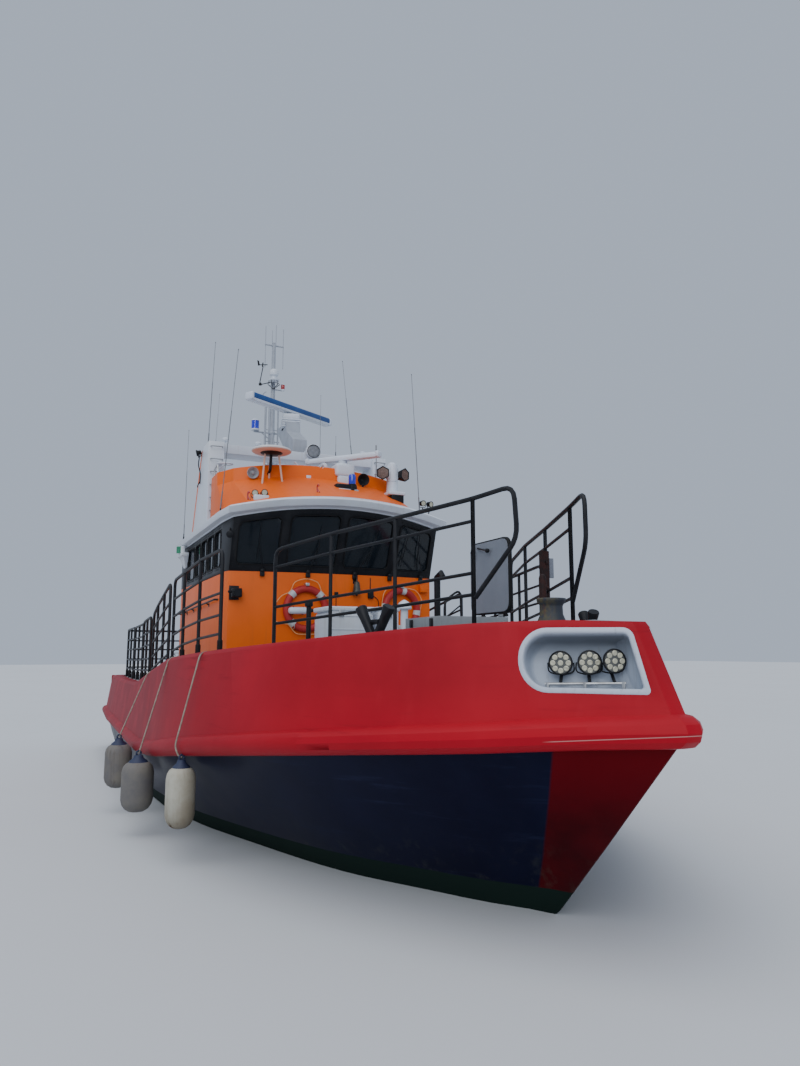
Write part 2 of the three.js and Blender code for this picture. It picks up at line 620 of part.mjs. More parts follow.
// columns: aft and forward side of the pane along the house
const SIDE_PANES = [[-40, 420], [-640, -180], [-1240, -780], [-1840, -1380], [-2700, -1980]];
for (const [x0, x1] of SIDE_PANES) {
  const c = 50;
  const top = HEAD_Z - PANE_MARGIN;
  const pane = [
    [x0 + c, PANE_SILL], [x1 - c, PANE_SILL], [x1, PANE_SILL + c], [x1, top - c], [x1 - c, top], [x0 + c,
      top],
    [x0, top - c], [x0, PANE_SILL + c],
  ];
  windowBand = windowBand.subtract(plate(pane, -2000, -1500)).subtract(plate(pane, 1500, 2000));
}
const AFT_PANES = [[-1500, -620], [620, 1500]];
for (const [y0, y1] of AFT_PANES) {
  windowBand = windowBand.subtract(box(HOUSE_AFT - 200, HOUSE_AFT + 300, y0, y1, PANE_SILL,
    HEAD_Z - PANE_MARGIN));
}

const GLASS_T = 12;
const glassIn = WALL + GAP;
const windowGlass = bandSpace(-glassIn)
  .intersect(camberSpace(HEAD_Z - 40))
  .subtract(under(SILL_Z + 60))
  .subtract(bandSpace(-glassIn - GLASS_T))
  .subtract(box(HOUSE_AFT - 100, HOUSE_AFT + 400, -DOOR.half - 10, DOOR.half + 10, 3300, DOOR.top + 20));

// columns: height over the window head, how far the edge of the roof stands out
const ROOF_EDGE = [[-150, 20], [15, 20], [40, 105], [ROOF_T - 45, 125], [ROOF_T - 8, 80], [ROOF_T + 150, 60]];
const roof = loft(ROOF_EDGE.map(([z, grow]) => houseRing(HEAD_Z + z, grow, true)))
  .intersect(camberSpace(ROOF_Z))
  .subtract(camberSpace(HEAD_Z + GAP));
const roofSpace = camberSpace(ROOF_Z + GAP);

const doorLeaf = (() => {
  const g = DOOR.gap;
  const [hx, hy] = DOOR_HINGE;
  let body = box(HOUSE_AFT + 2, HOUSE_AFT + 2 + DOOR.t, -DOOR.half + g, DOOR.half - g, DOOR.sill + g,
    DOOR.top - g);
  for (const z of [2280 + GAP, 3380 + GAP]) {
    body = body
      .add(bar([hx, hy, z], [hx, hy, z + 80], 14, 14, 10))
      .add(box(hx - 5, hx + 5, hy, hy + 70, z, z + 80))
      .add(box(hx - 5, HOUSE_AFT + 10, hy + 30, hy + 70, z, z + 80));
  }
  return body.add(box(HOUSE_AFT - 60, HOUSE_AFT + 10, DOOR.half - 110, DOOR.half - 80, 2850, 2990));
})();

// Inside the wheelhouse
const helmOutline = [[760, 1700], [300, 1700], [250, 2800], [420, 3150], [760, 3260]];
const helmConsole = plate(helmOutline, -1350, 1350).subtract(hullSpace);

// columns: x, y
const SEATS = [[-500, -900], [-500, 900], [-1750, -900], [-1750, 900]];
const crewSeats = (() => {
  let body = box(-2250, -200, -1200, 1200, 1650, 1900);
  for (const [x, y] of SEATS) {
    body = body
      .add(box(x - 120, x + 120, y - 120, y + 120, 1880, 2350))
      .add(box(x - 260, x + 260, y - 270, y + 270, 2340, 2480))
      .add(plate([[x - 260, 2450], [x - 160, 2450], [x - 230, 3250], [x - 330, 3250]], y - 250, y + 250));
  }
  return body.subtract(hullSpace);
})();

// Flying bridge: a sloping screen with a coaming, open behind
const halfScreen = [[1700, 250, -500], [1480, 960, -230], [1000, 1080, -130], [0, 1180, -80]];
const SCREEN_FRONT = [
  ...halfScreen.map(([y, foot, top]) => ({ y: -y, foot, top })),
  ...halfScreen.slice(0, 3).reverse().map(([y, foot, top]) => ({ y, foot, top })),
];
const SCREEN_AFT = -2600;
const COAMING = { foot: 5080, top: 5310, lean: 30 };
const screenRing = (key, z, pull = 0) => [
  ...SCREEN_FRONT.map((p) => [p[key] - pull, p.y, z + camberAt(p.y)]),
  ...SCREEN_FRONT.map((p) => [SCREEN_AFT, p.y, z + camberAt(p.y)]).reverse(),
];
const screenBody = loft([
  screenRing("foot", HEAD_Z),
  screenRing("foot", ROOF_Z + 20),
  screenRing("top", COAMING.foot),
  screenRing("top", COAMING.top, COAMING.lean),
]);
const wellOutline = [[-700, -1610], [-330, -1400], [-230, 0], [-330, 1400], [-700, 1610], [-4000, 1610],
  [-4000, -1610]];
const ARCH = { fore: -1080, aft: -2760, outer: 1745, inner: 1465, top: 6060, beam: 6050 };
const archSlot = box(ARCH.aft - 500, ARCH.fore + 40, -2000, 2000, 4000, 7000);
const screenSpace = screenBody.translate([0, 0, GAP]);
const dodger = screenBody
  .subtract(column(wellOutline, 4000, 7000))
  .subtract(roofSpace)
  .subtract(archSlot);

const flybridgeHelm = plate([[-300, 4500], [-700, 4500], [-680, 5150], [-480, 5300], [-420, 5280]], -500, 500)
  .add(box(-1500, -1080, -900, 900, 4500, 4950))
  .add(box(-1100, -600, -150, 150, 4500, 4720))
  .subtract(roofSpace)
  .subtract(screenSpace.subtract(column(wellOutline, 4000, 7000)));

// Radar arch: two box legs and a beam across them
const legOutline = [[ARCH.fore, 4400], [ARCH.aft, 4400], [-1880, ARCH.top], [-1180, ARCH.top]];
const radarArch = join(
  plate(legOutline, -ARCH.outer, -ARCH.inner),
  plate(legOutline, ARCH.inner, ARCH.outer),
  plate([[-1280, 5880], [-1720, 5880], [-1720, ARCH.beam], [-1280, ARCH.beam]], 40 - ARCH.outer,
    ARCH.outer - 40),
).subtract(roofSpace);

// Mast
const MAST_X = -3420;
const mast = join(
  bar([MAST_X, 0, 4400], [MAST_X, 0, 8990], 62, 40, 8),
  bar([MAST_X, 0, 8980], [MAST_X, 0, 9340], 22, 10, 6),
  pipe([[MAST_X + 480, -180, 4400], [MAST_X + 30, 0, 7000]], 26, 6),
  pipe([[MAST_X + 480, 180, 4400], [MAST_X + 30, 0, 7000]], 26, 6),
  bar([MAST_X, -260, 8960], [MAST_X, 260, 8960], 20, 20, 6),
  bar([MAST_X, -240, 8780], [MAST_X, -240, 9300], 10, 10, 5),
  bar([MAST_X, 240, 8780], [MAST_X, 240, 9380], 10, 10, 5),
  bar([MAST_X, 0, 8200], [MAST_X + 170, 0, 8200], 30, 30, 6),
  bar([MAST_X + 170, 0, 8190], [MAST_X + 170, 0, 8400], 85, 60, 10),
  bar([MAST_X, 0, 7950], [MAST_X + 60, 210, 7950], 18, 18, 6),
  bar([MAST_X + 60, 210, 7940], [MAST_X + 60, 210, 8120], 50, 50, 8),
).subtract(roofSpace);

// Radars. Each scanner is a bar on a geared base
const RADARS = {
  upper: { at: [-2050, 20], base: 6990, length: 2320, yaw: -60, height: 150, width: 190 },
  lower: { at: [-200, 480], base: 5640, length: 1520, yaw: 41, height: 110, width: 150 },
};
const upperSweep = [
  [-1280, ARCH.beam + GAP], [-1700, ARCH.beam + GAP], [-2450, 6700], [-2350, 6780], [-1800, 6780], [-1750,
    6560],
  [-1300, 6300],
];
const upperBase = plate(upperSweep, -140, 140)
  .add(bar([-2050, 20, 6770], [-2050, 20, 6860], 150, 170, 12))
  .add(bar([-2050, 20, 6860], [-2050, 20, RADARS.upper.base - GAP], 130, 110, 12));
const lowerBase = bar([-200, 480, 5050], [-200, 480, 5380], 110, 110, 10)
  .add(bar([-200, 480, 5370], [-200, 480, RADARS.lower.base - GAP], 190, 150, 12))
  .subtract(screenSpace);
const scanner = ({ at, base, length, yaw, height, width }) => {
  const [w, h, l] = [width / 2, height, length / 2];
  const section = [[-w, 60], [w, 60], [w, h - 10], [w - 30, h + 30], [30 - w, h + 30], [-w, h - 10]];
  const rings = [-l, l].map((y) => section.map(([x, z]) => [x, y, z]));
  return loft(rings)
    .add(bar([0, 0, 0], [0, 0, 70], 70, 60, 12))
    .rotate([0, 0, yaw + 90])
    .translate([at[0], at[1], base]);
};

// Roof gear
const DISC = { at: [60, -905, 5660], r: 342, feet: [[148, -1079, 5000], [147, -721, 5040], [-100, -900,
  5150]] };
const discAntenna = (() => {
  const [x, y, z] = DISC.at;
  let body = bar([x, y, z - 35], [x, y, z], DISC.r - 30, DISC.r, 20)
    .add(bar([x, y, z], [x, y, z + 40], DISC.r, DISC.r - 60, 20))
    .add(bar([x, y, z + 39], [x, y, z + 65], DISC.r - 60, 120, 20))
    .add(bar([x, y, z - 70], [x, y, z - 34], 120, 190, 12));
  for (const [fx, fy, fz] of DISC.feet) {
    const share = 0.45;
    body = body.add(bar([mix(x, fx, share), mix(y, fy, share), z - 60], [fx, fy, fz], 18, 18, 6));
  }
  return body.subtract(screenSpace);
})();

const LIGHT_CENTRE = [-1000, 150, 5995];
const lightStand = join(
  pipe([[-170, 150, 5400], [-170, 150, 5560], [-280, 150, 5600], [-900, 150, 5600], [-1000, 150, 5660],
    [-1000, 150, 5800]], 32, 8),
  bar([-1000, 150, 5790], [-1000, 150, 5830], 90, 90, 12),
).subtract(screenSpace);

const searchlight = (() => {
  const [x, y, z] = LIGHT_CENTRE;
  return bar([x - 110, y, z], [x + 110, y, z], 90, 125, 12).add(bar([x, y, 5830 + GAP], [x, y, z - 35], 40,
    40, 8));
})();

const TWIN = [-20, 1380, 5555];
const TWIN_FOOT = 5330;
const twinStand = bar([TWIN[0], TWIN[1], 4900], [TWIN[0], TWIN[1], TWIN_FOOT], 75, 75,
  12).subtract(screenSpace);
const twinLight = (() => {
  const [x, y, z] = TWIN;
  return join(
    bar([x, y, TWIN_FOOT + GAP], [x, y, z + 120], 70, 70, 12),
    bar([x - 80, y - 150, z], [x + 110, y - 190, z], 80, 105, 8),
    bar([x - 80, y + 150, z], [x + 110, y + 190, z], 80, 105, 8),
    bar([x - 40, y - 160, z], [x - 40, y + 160, z], 45, 45, 8),
  );
})();

// Lifebuoys on the wheelhouse front
const houseSpace = loft([houseRing(1600, GAP), houseRing(SILL_Z, GAP)]);
// columns: y, z, x of the wall behind, turn of that wall from square to the centreline in degrees
const LIFEBUOYS = { starboard: [-530, 2930, 930, -2.2], port: [1130, 2950, 886, 8.2] };
const lifebuoy = ([y, z, wall, turn]) => {
  const geometry = new THREE.TorusGeometry(315, 58, 6,
    16).rotateY(Math.PI / 2).rotateZ((turn * Math.PI) / 180);
  return solid(geometry.translate(wall + 50, y, z)).subtract(houseSpace);
};

// A bracket that widens upwards from the side of the window band, with the lamp on it.
// columns: aft end, fore end, distance from the centreline, height
const LAMP_BRACKET = [
  [-2960, -2760, 1830, 3880], [-3080, -2640, 1890, 4080], [-3100, -2620, 1935, 4110], [-3100, -2620, 1935, 4170],
];
const sidelight = (() => {
  const inner = -HOUSE_HALF - GAP;
  const rings = LAMP_BRACKET.map(([x0, x1, y, z]) => [
    [x0, inner, z], [x0, -y, z], [x1, -y, z], [x1, inner, z],
  ]);
  return loft(rings).add(box(-3020, -2700, -1925, -1860, 4160, 4300));
})();

// Aft: a low casing behind the wheelhouse
const casingRing = (x0, x1, y, z) => [[x0, -y, z], [x0, y, z], [x1, y, z], [x1, -y, z]];
const aftCasing = loft([casingRing(-4500, -7000, 1350, 1500), casingRing(-4600, -6900, 1250,
  2350)]).subtract(hullSpace);

// Fenders hung on the starboard side, each touching the belt. columns: x, y, top, length, radius
const FENDERS = {
  fore: [3635, -2789, 1110, 800, 165],
  middle: [2076, -3083, 1000, 760, 200],
  aft: [362, -3177, 1050, 760, 190],
};
const fender = ([x, y, top, length, r]) =>
  join(
    bar([x, y, top - 0.12 * length], [x, y, top - 0.88 * length], r, r, 12),
    bar([x, y, top], [x, y, top - 0.13 * length], r * 0.35, r, 12),
    bar([x, y, top - 0.87 * length], [x, y, top - length], r, r * 0.4, 12),
  ).subtract(beltSpace).subtract(hullSpace);

const PAINT = {
  navy: [0x10142c, 0.45, 0],
  red: [0xa8222a, 0.55, 0],
  orange: [0xe07a1c, 0.5, 0],
  white: [0xe8ebee, 0.4, 0],
  black: [0x14161a, 0.5, 0.2],
  grey: [0x8c9096, 0.6, 0.1],
  steel: [0xb8bcc0, 0.35, 0.9],
  bronze: [0xa98346, 0.35, 0.9],
  antifoul: [0x14251f, 0.8, 0],
  glass: [0x1c2226, 0.1, 0],
  blue: [0x173a7c, 0.4, 0],
  seat: [0x22252c, 0.8, 0],
};

const cut = (body, side) => (side < 0 ? mirrored(body) : body);
const flip = (body, side) => (side > 0 ? mirrored(body) : body);

const hull = hullSolid
  .subtract(recessCut)
  .subtract(mirrored(recessCut))
  .subtract(stockBore)
  .subtract(mirrored(stockBore));

// columns: name, solid, paint
const PIECES = [
  ["hull", hull, "navy"],
  ["belt_stern", beltStern, "red"],
  ["stem_pad", stemPad, "red"],
  ["centre_skeg", skeg, "antifoul"],
  ["foredeck_hatch_coaming", hatchCoaming, "grey"],
  ["foredeck_hatch_lid", lidBody, "grey"],
  ["samson_post", samsonPost, "grey"],
  ["foredeck_locker", foredeckLocker, "white"],
  ["vent_post", ventPost, "black"],
  ["stern_rail", sternRail, "black"],
  ["wheelhouse_walls", houseLower, "orange"],
  ["window_band", windowBand, "black"],
  ["window_glass", windowGlass, "glass"],
  ["wheelhouse_roof", roof, "white"],
  ["wheelhouse_door", doorLeaf, "orange"],
  ["helm_console", helmConsole, "black"],
  ["crew_seats", crewSeats, "seat"],
  ["flying_bridge_screen", dodger, "orange"],
  ["flying_bridge_helm", flybridgeHelm, "white"],
  ["radar_arch", radarArch, "white"],
  ["mast", mast, "white"],
  ["upper_radar_base", upperBase, "white"],
  ["upper_radar_scanner", scanner(RADARS.upper), "blue"],
  ["lower_radar_base", lowerBase, "white"],
  ["lower_radar_scanner", scanner(RADARS.lower), "white"],
  ["disc_antenna", discAntenna, "white"],
  ["searchlight_stand", lightStand, "white"],
  ["searchlight", searchlight, "white"],
  ["twin_light_stand", twinStand, "white"],
  ["twin_light", twinLight, "white"],
  ["aft_casing", aftCasing, "grey"],
  ["lifebuoy_starboard", lifebuoy(LIFEBUOYS.starboard), "red"],
  ["lifebuoy_port", lifebuoy(LIFEBUOYS.port), "red"],
];
for (const [side, sign] of SIDES) {
  PIECES.push(
    [`belt_${side}`, cut(beltPort, sign), "red"],
    [`lamp_tray_${side}`, cut(trayBody, sign), "white"],
    [`bow_lamps_${side}`, cut(bowLamps, sign), "black"],
    [`shaft_keel_${side}`, cut(shaftKeel, sign), "antifoul"],
    [`propeller_shaft_${side}`, cut(shaft, sign), "steel"],
    [`propeller_${side}`, cut(propeller(1), sign), "bronze"],
    [`rudder_${side}`, cut(rudder, sign), "antifoul"],
    [`bitts_${side}`, bitts(sign), "black"],
    [`bow_rail_${side}`, flip(bowRail, sign), "black"],
    [`side_rail_${side}`, flip(sideRail, sign), "black"],
    [`sidelight_${side}`, flip(sidelight, sign), "white"],
  );
}
for (const [place, row] of Object.entries(FENDERS)) PIECES.push([`fender_${place}`, fender(row), "grey"]);

const group = new THREE.Group();
for (const [name, body, paint] of PIECES) {
  const [color, roughness, metalness] = PAINT[paint];
  const material = new THREE.MeshStandardMaterial({ color, roughness, metalness });
  const mesh = new THREE.Mesh(geometryOf(body.translate([0, 0, FLOAT_LIGHT])), material);
  mesh.name = name;
  group.add(mesh);
}

export default group;
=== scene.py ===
import json
from contextlib import contextmanager
from math import atan2, copysign, cos, pi, radians, sin, tan, tau

import bpy
from bpy.props import FloatProperty, FloatVectorProperty, PointerProperty
from mathutils import Matrix, Vector
from mathutils.bvhtree import BVHTree

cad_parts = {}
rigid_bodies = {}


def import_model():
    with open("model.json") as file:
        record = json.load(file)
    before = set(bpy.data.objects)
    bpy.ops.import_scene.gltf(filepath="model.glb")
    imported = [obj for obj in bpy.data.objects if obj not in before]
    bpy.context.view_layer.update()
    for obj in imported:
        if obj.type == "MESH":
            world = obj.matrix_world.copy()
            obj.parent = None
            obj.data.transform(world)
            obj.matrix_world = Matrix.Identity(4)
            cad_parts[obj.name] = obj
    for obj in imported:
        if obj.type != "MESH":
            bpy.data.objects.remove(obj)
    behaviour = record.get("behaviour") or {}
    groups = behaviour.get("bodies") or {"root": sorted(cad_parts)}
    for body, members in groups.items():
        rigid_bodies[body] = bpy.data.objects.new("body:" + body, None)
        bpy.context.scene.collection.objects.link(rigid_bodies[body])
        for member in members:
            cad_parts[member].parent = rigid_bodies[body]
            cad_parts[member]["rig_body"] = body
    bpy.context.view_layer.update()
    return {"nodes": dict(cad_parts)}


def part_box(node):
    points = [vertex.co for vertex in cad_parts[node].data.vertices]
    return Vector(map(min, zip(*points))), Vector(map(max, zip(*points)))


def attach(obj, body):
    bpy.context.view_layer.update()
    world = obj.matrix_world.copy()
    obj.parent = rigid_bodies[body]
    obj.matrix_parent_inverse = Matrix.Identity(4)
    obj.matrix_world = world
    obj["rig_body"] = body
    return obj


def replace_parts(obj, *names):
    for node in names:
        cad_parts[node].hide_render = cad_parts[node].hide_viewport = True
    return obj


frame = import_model()

bl_info = {
    "name": "Lifeboat",
    "version": (1, 0, 0),
    "blender": (4, 5, 0),
    "location": "View3D > Sidebar > Lifeboat",
    "description": "Dresses the lifeboat's frame with its rails, lamps, gear, paint and camera",
    "category": "Object",
}

# Heights below are over the design waterline; the boat floats this much higher
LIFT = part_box("centre_skeg")[0][2] + 1.78
SIDES = (("starboard", -1), ("port", 1))
# The slot looked up for a piece with this finish when it names none; the piece does not keep it
SLOTS = {
    "gloss_white": "white", "bare_steel": "steel", "rail_black": "black", "lid_grey": "grey",
    "rubber_black": "black", "satin_black": "black", "house_orange": "orange",
}


# Sizes and colours that a user may change
def colour(name, text, *rgb):
    return FloatVectorProperty(name=name, description=text, default=rgb, size=3, subtype="COLOR", min=0,
        max=1)


def length(name, text, metres):
    return FloatProperty(name=name, description=text, default=metres, unit="LENGTH", subtype="DISTANCE")


class LifeboatColours(bpy.types.PropertyGroup):
    """Paint of the boat, as linear colours"""

    red: colour("Belt red", "Fender belt, roll and forefoot", 0.34, 0.006, 0.016)
    navy: colour("Hull navy", "Sides of the hull", 0.0035, 0.004, 0.018)
    orange: colour("House orange", "Wheelhouse and flying bridge", 0.78, 0.13, 0.009)
    white: colour("White", "Roof, arch, mast and lamp trays", 0.62, 0.67, 0.76)
    black: colour("Black", "Rails, window band and lamps", 0.01, 0.011, 0.014)
    grey: colour("Grey", "Deck, hatch and casing", 0.26, 0.28, 0.3)
    antifoul: colour("Bottom paint", "Hull under the boot top", 0.01, 0.022, 0.018)
    blue: colour("Scanner blue", "Front of the upper radar scanner", 0.012, 0.06, 0.22)


class LifeboatSizes(bpy.types.PropertyGroup):
    """Sizes of the small pieces"""

    post: length("Rail post", "Radius of a rail's posts and top tube", 0.024)
    level: length("Rail level", "Radius of the tubes between the posts", 0.018)
    edge: length("Edge", "Rounding of the corners of cast and plated pieces", 0.008)
    lamp: length("Bow lamp", "Radius of a bow lamp", 0.099)
    grab: length("Grab line", "Radius of a lifebuoy's grab line", 0.006)


def sizes():
    return bpy.context.scene.lifeboat_sizes


def paint(name):
    return tuple(getattr(bpy.context.scene.lifeboat_colours, name))


# Making and finishing pieces
def only(*objs):
    bpy.ops.object.select_all(action="DESELECT")
    for obj in objs:
        obj.select_set(True)
    bpy.context.view_layer.objects.active = objs[0]


@contextmanager
def editing(obj):
    """Edit mode on one object, with all of its mesh selected"""
    only(obj)
    bpy.ops.object.mode_set(mode="EDIT")
    bpy.ops.mesh.select_all(action="SELECT")
    yield
    bpy.ops.object.mode_set(mode="OBJECT")


def at_rest(obj):
    """Puts the object's place, turn and size into its mesh"""
    only(obj)
    bpy.ops.object.transform_apply(location=True, rotation=True, scale=True)
    return obj


def modified(obj, kind, **settings):
    modifier = obj.modifiers.new(kind.title(), kind)
    for key, value in settings.items():
        setattr(modifier, key, value)
    only(obj)
    bpy.ops.object.modifier_apply(modifier=modifier.name)
    return obj


def smooth(obj, degrees=35):
    only(obj)
    bpy.ops.object.shade_smooth_by_angle(angle=radians(degrees))
    return obj


def piece(name, parts, material, body="boat", degrees=35, slot="own", lifted=True):
    """Joins the parts into one finished piece that rides on a body; the slot it works out is not kept"""
    parts = [part for part in parts if part]
    only(*parts)
    if len(parts) > 1:
        bpy.ops.object.join()
    obj = at_rest(bpy.context.view_layer.objects.active)
    obj.name = obj.data.name = name
    if lifted:
        obj.data.transform(Matrix.Translation((0, 0, LIFT)))
    if material:
        obj.data.materials.clear()
        obj.data.materials.append(finish(material))
    smooth(obj, degrees)
    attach(obj, body)
    slot = SLOTS.get(material) if slot == "own" else slot
    return obj


def coated(obj, material):
    obj.data.materials.clear()
    obj.data.materials.append(finish(material))
    return obj


def face_edges(obj, width, segments=2, degrees=30):
    """Rounds the corners that are sharper than the given angle"""
    return modified(
        obj, "BEVEL", width=width, segments=segments, limit_method="ANGLE", angle_limit=radians(degrees),
        use_clamp_overlap=True,
    )


def dressed(node, material, edge=None, segments=2, degrees=35, name=None, slot=None, flat=0.6, shape=None):
    """A copy of a frame node with rounded corners and its own finish, which stands for the node"""
    source = frame["nodes"][node]
    obj = bpy.data.objects.new(name or node + "_body", source.data.copy())
    bpy.context.scene.collection.objects.link(obj)
    with editing(obj):
        bpy.ops.mesh.remove_doubles(threshold=0.0002)
        if flat:
            bpy.ops.mesh.dissolve_limited(angle_limit=radians(flat))
    if shape:
        shape(obj)
    edge = sizes().edge if edge is None else edge
    if edge:
        face_edges(obj, edge, segments)
    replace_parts(piece(obj.name, [obj], material, source["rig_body"], degrees, slot, lifted=False), node)
    return obj


def aimed(obj, at, way=(0, 0, 1), turn=0.0):
    """Turns a piece that was made along Z to lie along a way, and sets it at its place"""
    facing = Vector(way).to_track_quat("Z", "Y").to_matrix().to_4x4()
    obj.matrix_world = Matrix.Translation(at) @ facing @ Matrix.Rotation(turn, 4, "Z") @ obj.matrix_world
    return at_rest(obj)


def turned(profile, at=(0, 0, 0), way=(0, 0, 1), sides=24, closed=True):
    """A round form: a disc at the first (height, radius) pair, extruded and resized through the rest"""
    height, radius = profile[0]
    bpy.ops.mesh.primitive_circle_add(
        vertices=sides, radius=radius, fill_type="NGON" if closed else "NOTHING", location=(0, 0, height)
    )
    obj = bpy.context.active_object
    with editing(obj):
        for next_height, next_radius in profile[1:]:
            bpy.ops.mesh.extrude_region_move(TRANSFORM_OT_translate={"value": (0, 0, next_height - height)})
            if abs(next_radius - radius) > 1e-6:
                scale = next_radius / radius
                bpy.ops.transform.resize(value=(scale, scale, 1), center_override=(0, 0, next_height))
            height, radius = next_height, next_radius
        bpy.ops.mesh.select_all(action="SELECT")
        bpy.ops.mesh.normals_make_consistent(inside=False)
    return aimed(obj, at, way)


def block(x0, x1, y0, y1, z0, z1, edge=0.008, segments=2):
    """A box with rounded edges between two corners"""
    bpy.ops.mesh.primitive_cube_add(size=1, location=((x0 + x1) / 2, (y0 + y1) / 2, (z0 + z1) / 2))
    obj = bpy.context.active_object
    obj.scale = (abs(x1 - x0), abs(y1 - y0), abs(z1 - z0))
    at_rest(obj)
    with editing(obj):
        bpy.ops.mesh.bevel(offset=edge, segments=segments, affect="EDGES")
    return obj


def ring(centre, way, radius, thickness, sides=32, round_sides=10):
    bpy.ops.mesh.primitive_torus_add(
        major_radius=radius, minor_radius=thickness, major_segments=sides, minor_segments=round_sides
    )
    return aimed(bpy.context.active_object, centre, way)


def bent(points, corner):
    """The path with each of its corners replaced by an arc"""
    points = [Vector(p) for p in points]
    if corner <= 0:
        return points
    path = [points[0]]
    for before, at, after in zip(points, points[1:], points[2:]):
        reach = min(corner, (at - before).length * 0.45, (after - at).length * 0.45)
        start = at + (before - at).normalized() * reach
        end = at + (after - at).normalized() * reach
        for share in (0, 0.25, 0.5, 0.75, 1):
            path.append(start * (1 - share) ** 2 + at * 2 * share * (1 - share) + end * share ** 2)
    return path + [points[-1]]


def tubes(runs, sides=2):
    """Round bars and bent tubes as one mesh. Each run is (points, radius) or (points, radius, corner)"""
    curve = bpy.data.curves.new("tubes", "CURVE")
    curve.dimensions = "3D"
    curve.bevel_depth = 1
    curve.bevel_resolution = sides
    curve.use_fill_caps = True
    for points, radius, *corner in runs:
        path = bent(points, corner[0] if corner else 0)
        spline = curve.splines.new("POLY")
        spline.points.add(len(path) - 1)
        for point, place in zip(spline.points, path):
            point.co = (*place, 1)
            point.radius = radius
    obj = bpy.data.objects.new("tubes", curve)
    bpy.context.scene.collection.objects.link(obj)
    only(obj)
    bpy.ops.object.convert(target="MESH")
    return bpy.context.active_object


def copies(obj, places):
    """The shape, made facing up, repeated at each (place, way)"""
    made = []
    for at, way in places:
        other = obj.copy()
        other.data = obj.data.copy()
        bpy.context.scene.collection.objects.link(other)
        facing = Vector(way).to_track_quat("Z", "Y").to_matrix().to_4x4()
        other.data.transform(Matrix.Translation(at) @ facing)
        made.append(other)
    bpy.data.objects.remove(obj)
    return made


def bolt(radius=0.009, height=0.006):
    """A six-sided head on a washer"""
    return turned([(-0.002, radius * 1.45), (0.002, radius * 1.45), (0.002, radius),
        (height, radius * 0.92)], sides=6)


def paced(points, step):
    """Points at an equal pace along a path"""
    places, left = [], step / 2
    for a, b in zip(points, points[1:]):
        reach = (b - a).length
        while left <= reach:
            places.append(a.lerp(b, left / reach))
            left += step
        left -= reach
    return places


def pane(points, inward, edge=0.003):
    """A flat or slightly bowed sheet with the given outline, thickened by the inward step"""
    mesh = bpy.data.meshes.new("pane")
    mesh.from_pydata([tuple(p) for p in points], [], [range(len(points))])
    obj = bpy.data.objects.new("pane", mesh)
    bpy.context.scene.collection.objects.link(obj)
    with editing(obj):
        bpy.ops.mesh.extrude_region_move(TRANSFORM_OT_translate={"value": inward})
        bpy.ops.mesh.select_all(action="SELECT")
        bpy.ops.mesh.normals_make_consistent(inside=False)
        bpy.ops.mesh.bevel(offset=edge, segments=1, affect="EDGES")
    return obj


def twin(obj):
    """The same shape on the other side of the centreline"""
    other = obj.copy()
    other.data = obj.data.copy()
    bpy.context.scene.collection.objects.link(other)
    other.scale = (1, -1, 1)
    at_rest(other)
    with editing(other):
        bpy.ops.mesh.flip_normals()
    return other


def mix(a, b, t):
    return a + (b - a) * t


# Shader wiring
class Wiring:
    """Places shader nodes in a tree and joins them"""

    def __init__(self, tree):
        self.tree = tree

    def add(self, kind, feeds=None, **settings):
        node = self.tree.nodes.new(kind)
        for key, value in settings.items():
            setattr(node, key, value)
        for key, value in (feeds or {}).items():
            self.feed(node.inputs[key], value)
        return node

    def feed(self, socket, value):
        if isinstance(value, bpy.types.NodeSocket):
            self.tree.links.new(value, socket)
        else:
            socket.default_value = value

    def calc(self, operation, a, b=0.0, clamp=False):
        return self.add("ShaderNodeMath", {0: a, 1: b}, operation=operation, use_clamp=clamp).outputs[0]

    def times(self, a, b):
        return self.calc("MULTIPLY", a, b)

    def band(self, value, low, high, start=0.0, end=1.0):
        feeds = {"Value": value, "From Min": low, "From Max": high, "To Min": start, "To Max": end}
        return self.add("ShaderNodeMapRange", feeds).outputs["Result"]

    def tint(self, mask, under, over, kind="MIX"):
        under = (*under, 1) if isinstance(under, tuple) and len(under) == 3 else under
        over = (*over, 1) if isinstance(over, tuple) and len(over) == 3 else over
        node = self.add("ShaderNodeMix", data_type="RGBA", blend_type=kind)
        self.feed(node.inputs[0], mask)
        self.feed(node.inputs[6], under)
        self.feed(node.inputs[7], over)
        return node.outputs[2]

    def noise(self, vector, scale, detail=4.0, rough=0.55):
        feeds = {"Vector": vector, "Scale": scale, "Detail": detail, "Roughness": rough}
        return self.add("ShaderNodeTexNoise", feeds).outputs[0]

    def stretched(self, vector, x, y, z):
        return self.add("ShaderNodeMapping", {"Vector": vector, "Scale": (x, y, z)}).outputs[0]


def effect(name, build, inputs):
    """A named group of shader nodes with a Vector input, numbers, and one Mask output"""
    if name in bpy.data.node_groups:
        return bpy.data.node_groups[name]
    group = bpy.data.node_groups.new(name, "ShaderNodeTree")
    group.interface.new_socket(name="Vector", in_out="INPUT", socket_type="NodeSocketVector")
    for title, value in inputs:
        socket = group.interface.new_socket(name=title, in_out="INPUT", socket_type="NodeSocketFloat")
        socket.default_value = value
    group.interface.new_socket(name="Mask", in_out="OUTPUT", socket_type="NodeSocketFloat")
    wires = Wiring(group)
    entry, leave = wires.add("NodeGroupInput"), wires.add("NodeGroupOutput")
    wires.feed(leave.inputs["Mask"], build(wires, entry.outputs))
    return group


def mottle(wires, entry):
    broad = wires.noise(entry["Vector"], entry["Scale"], 5, 0.6)
    return wires.band(broad, 0.36, 0.66)


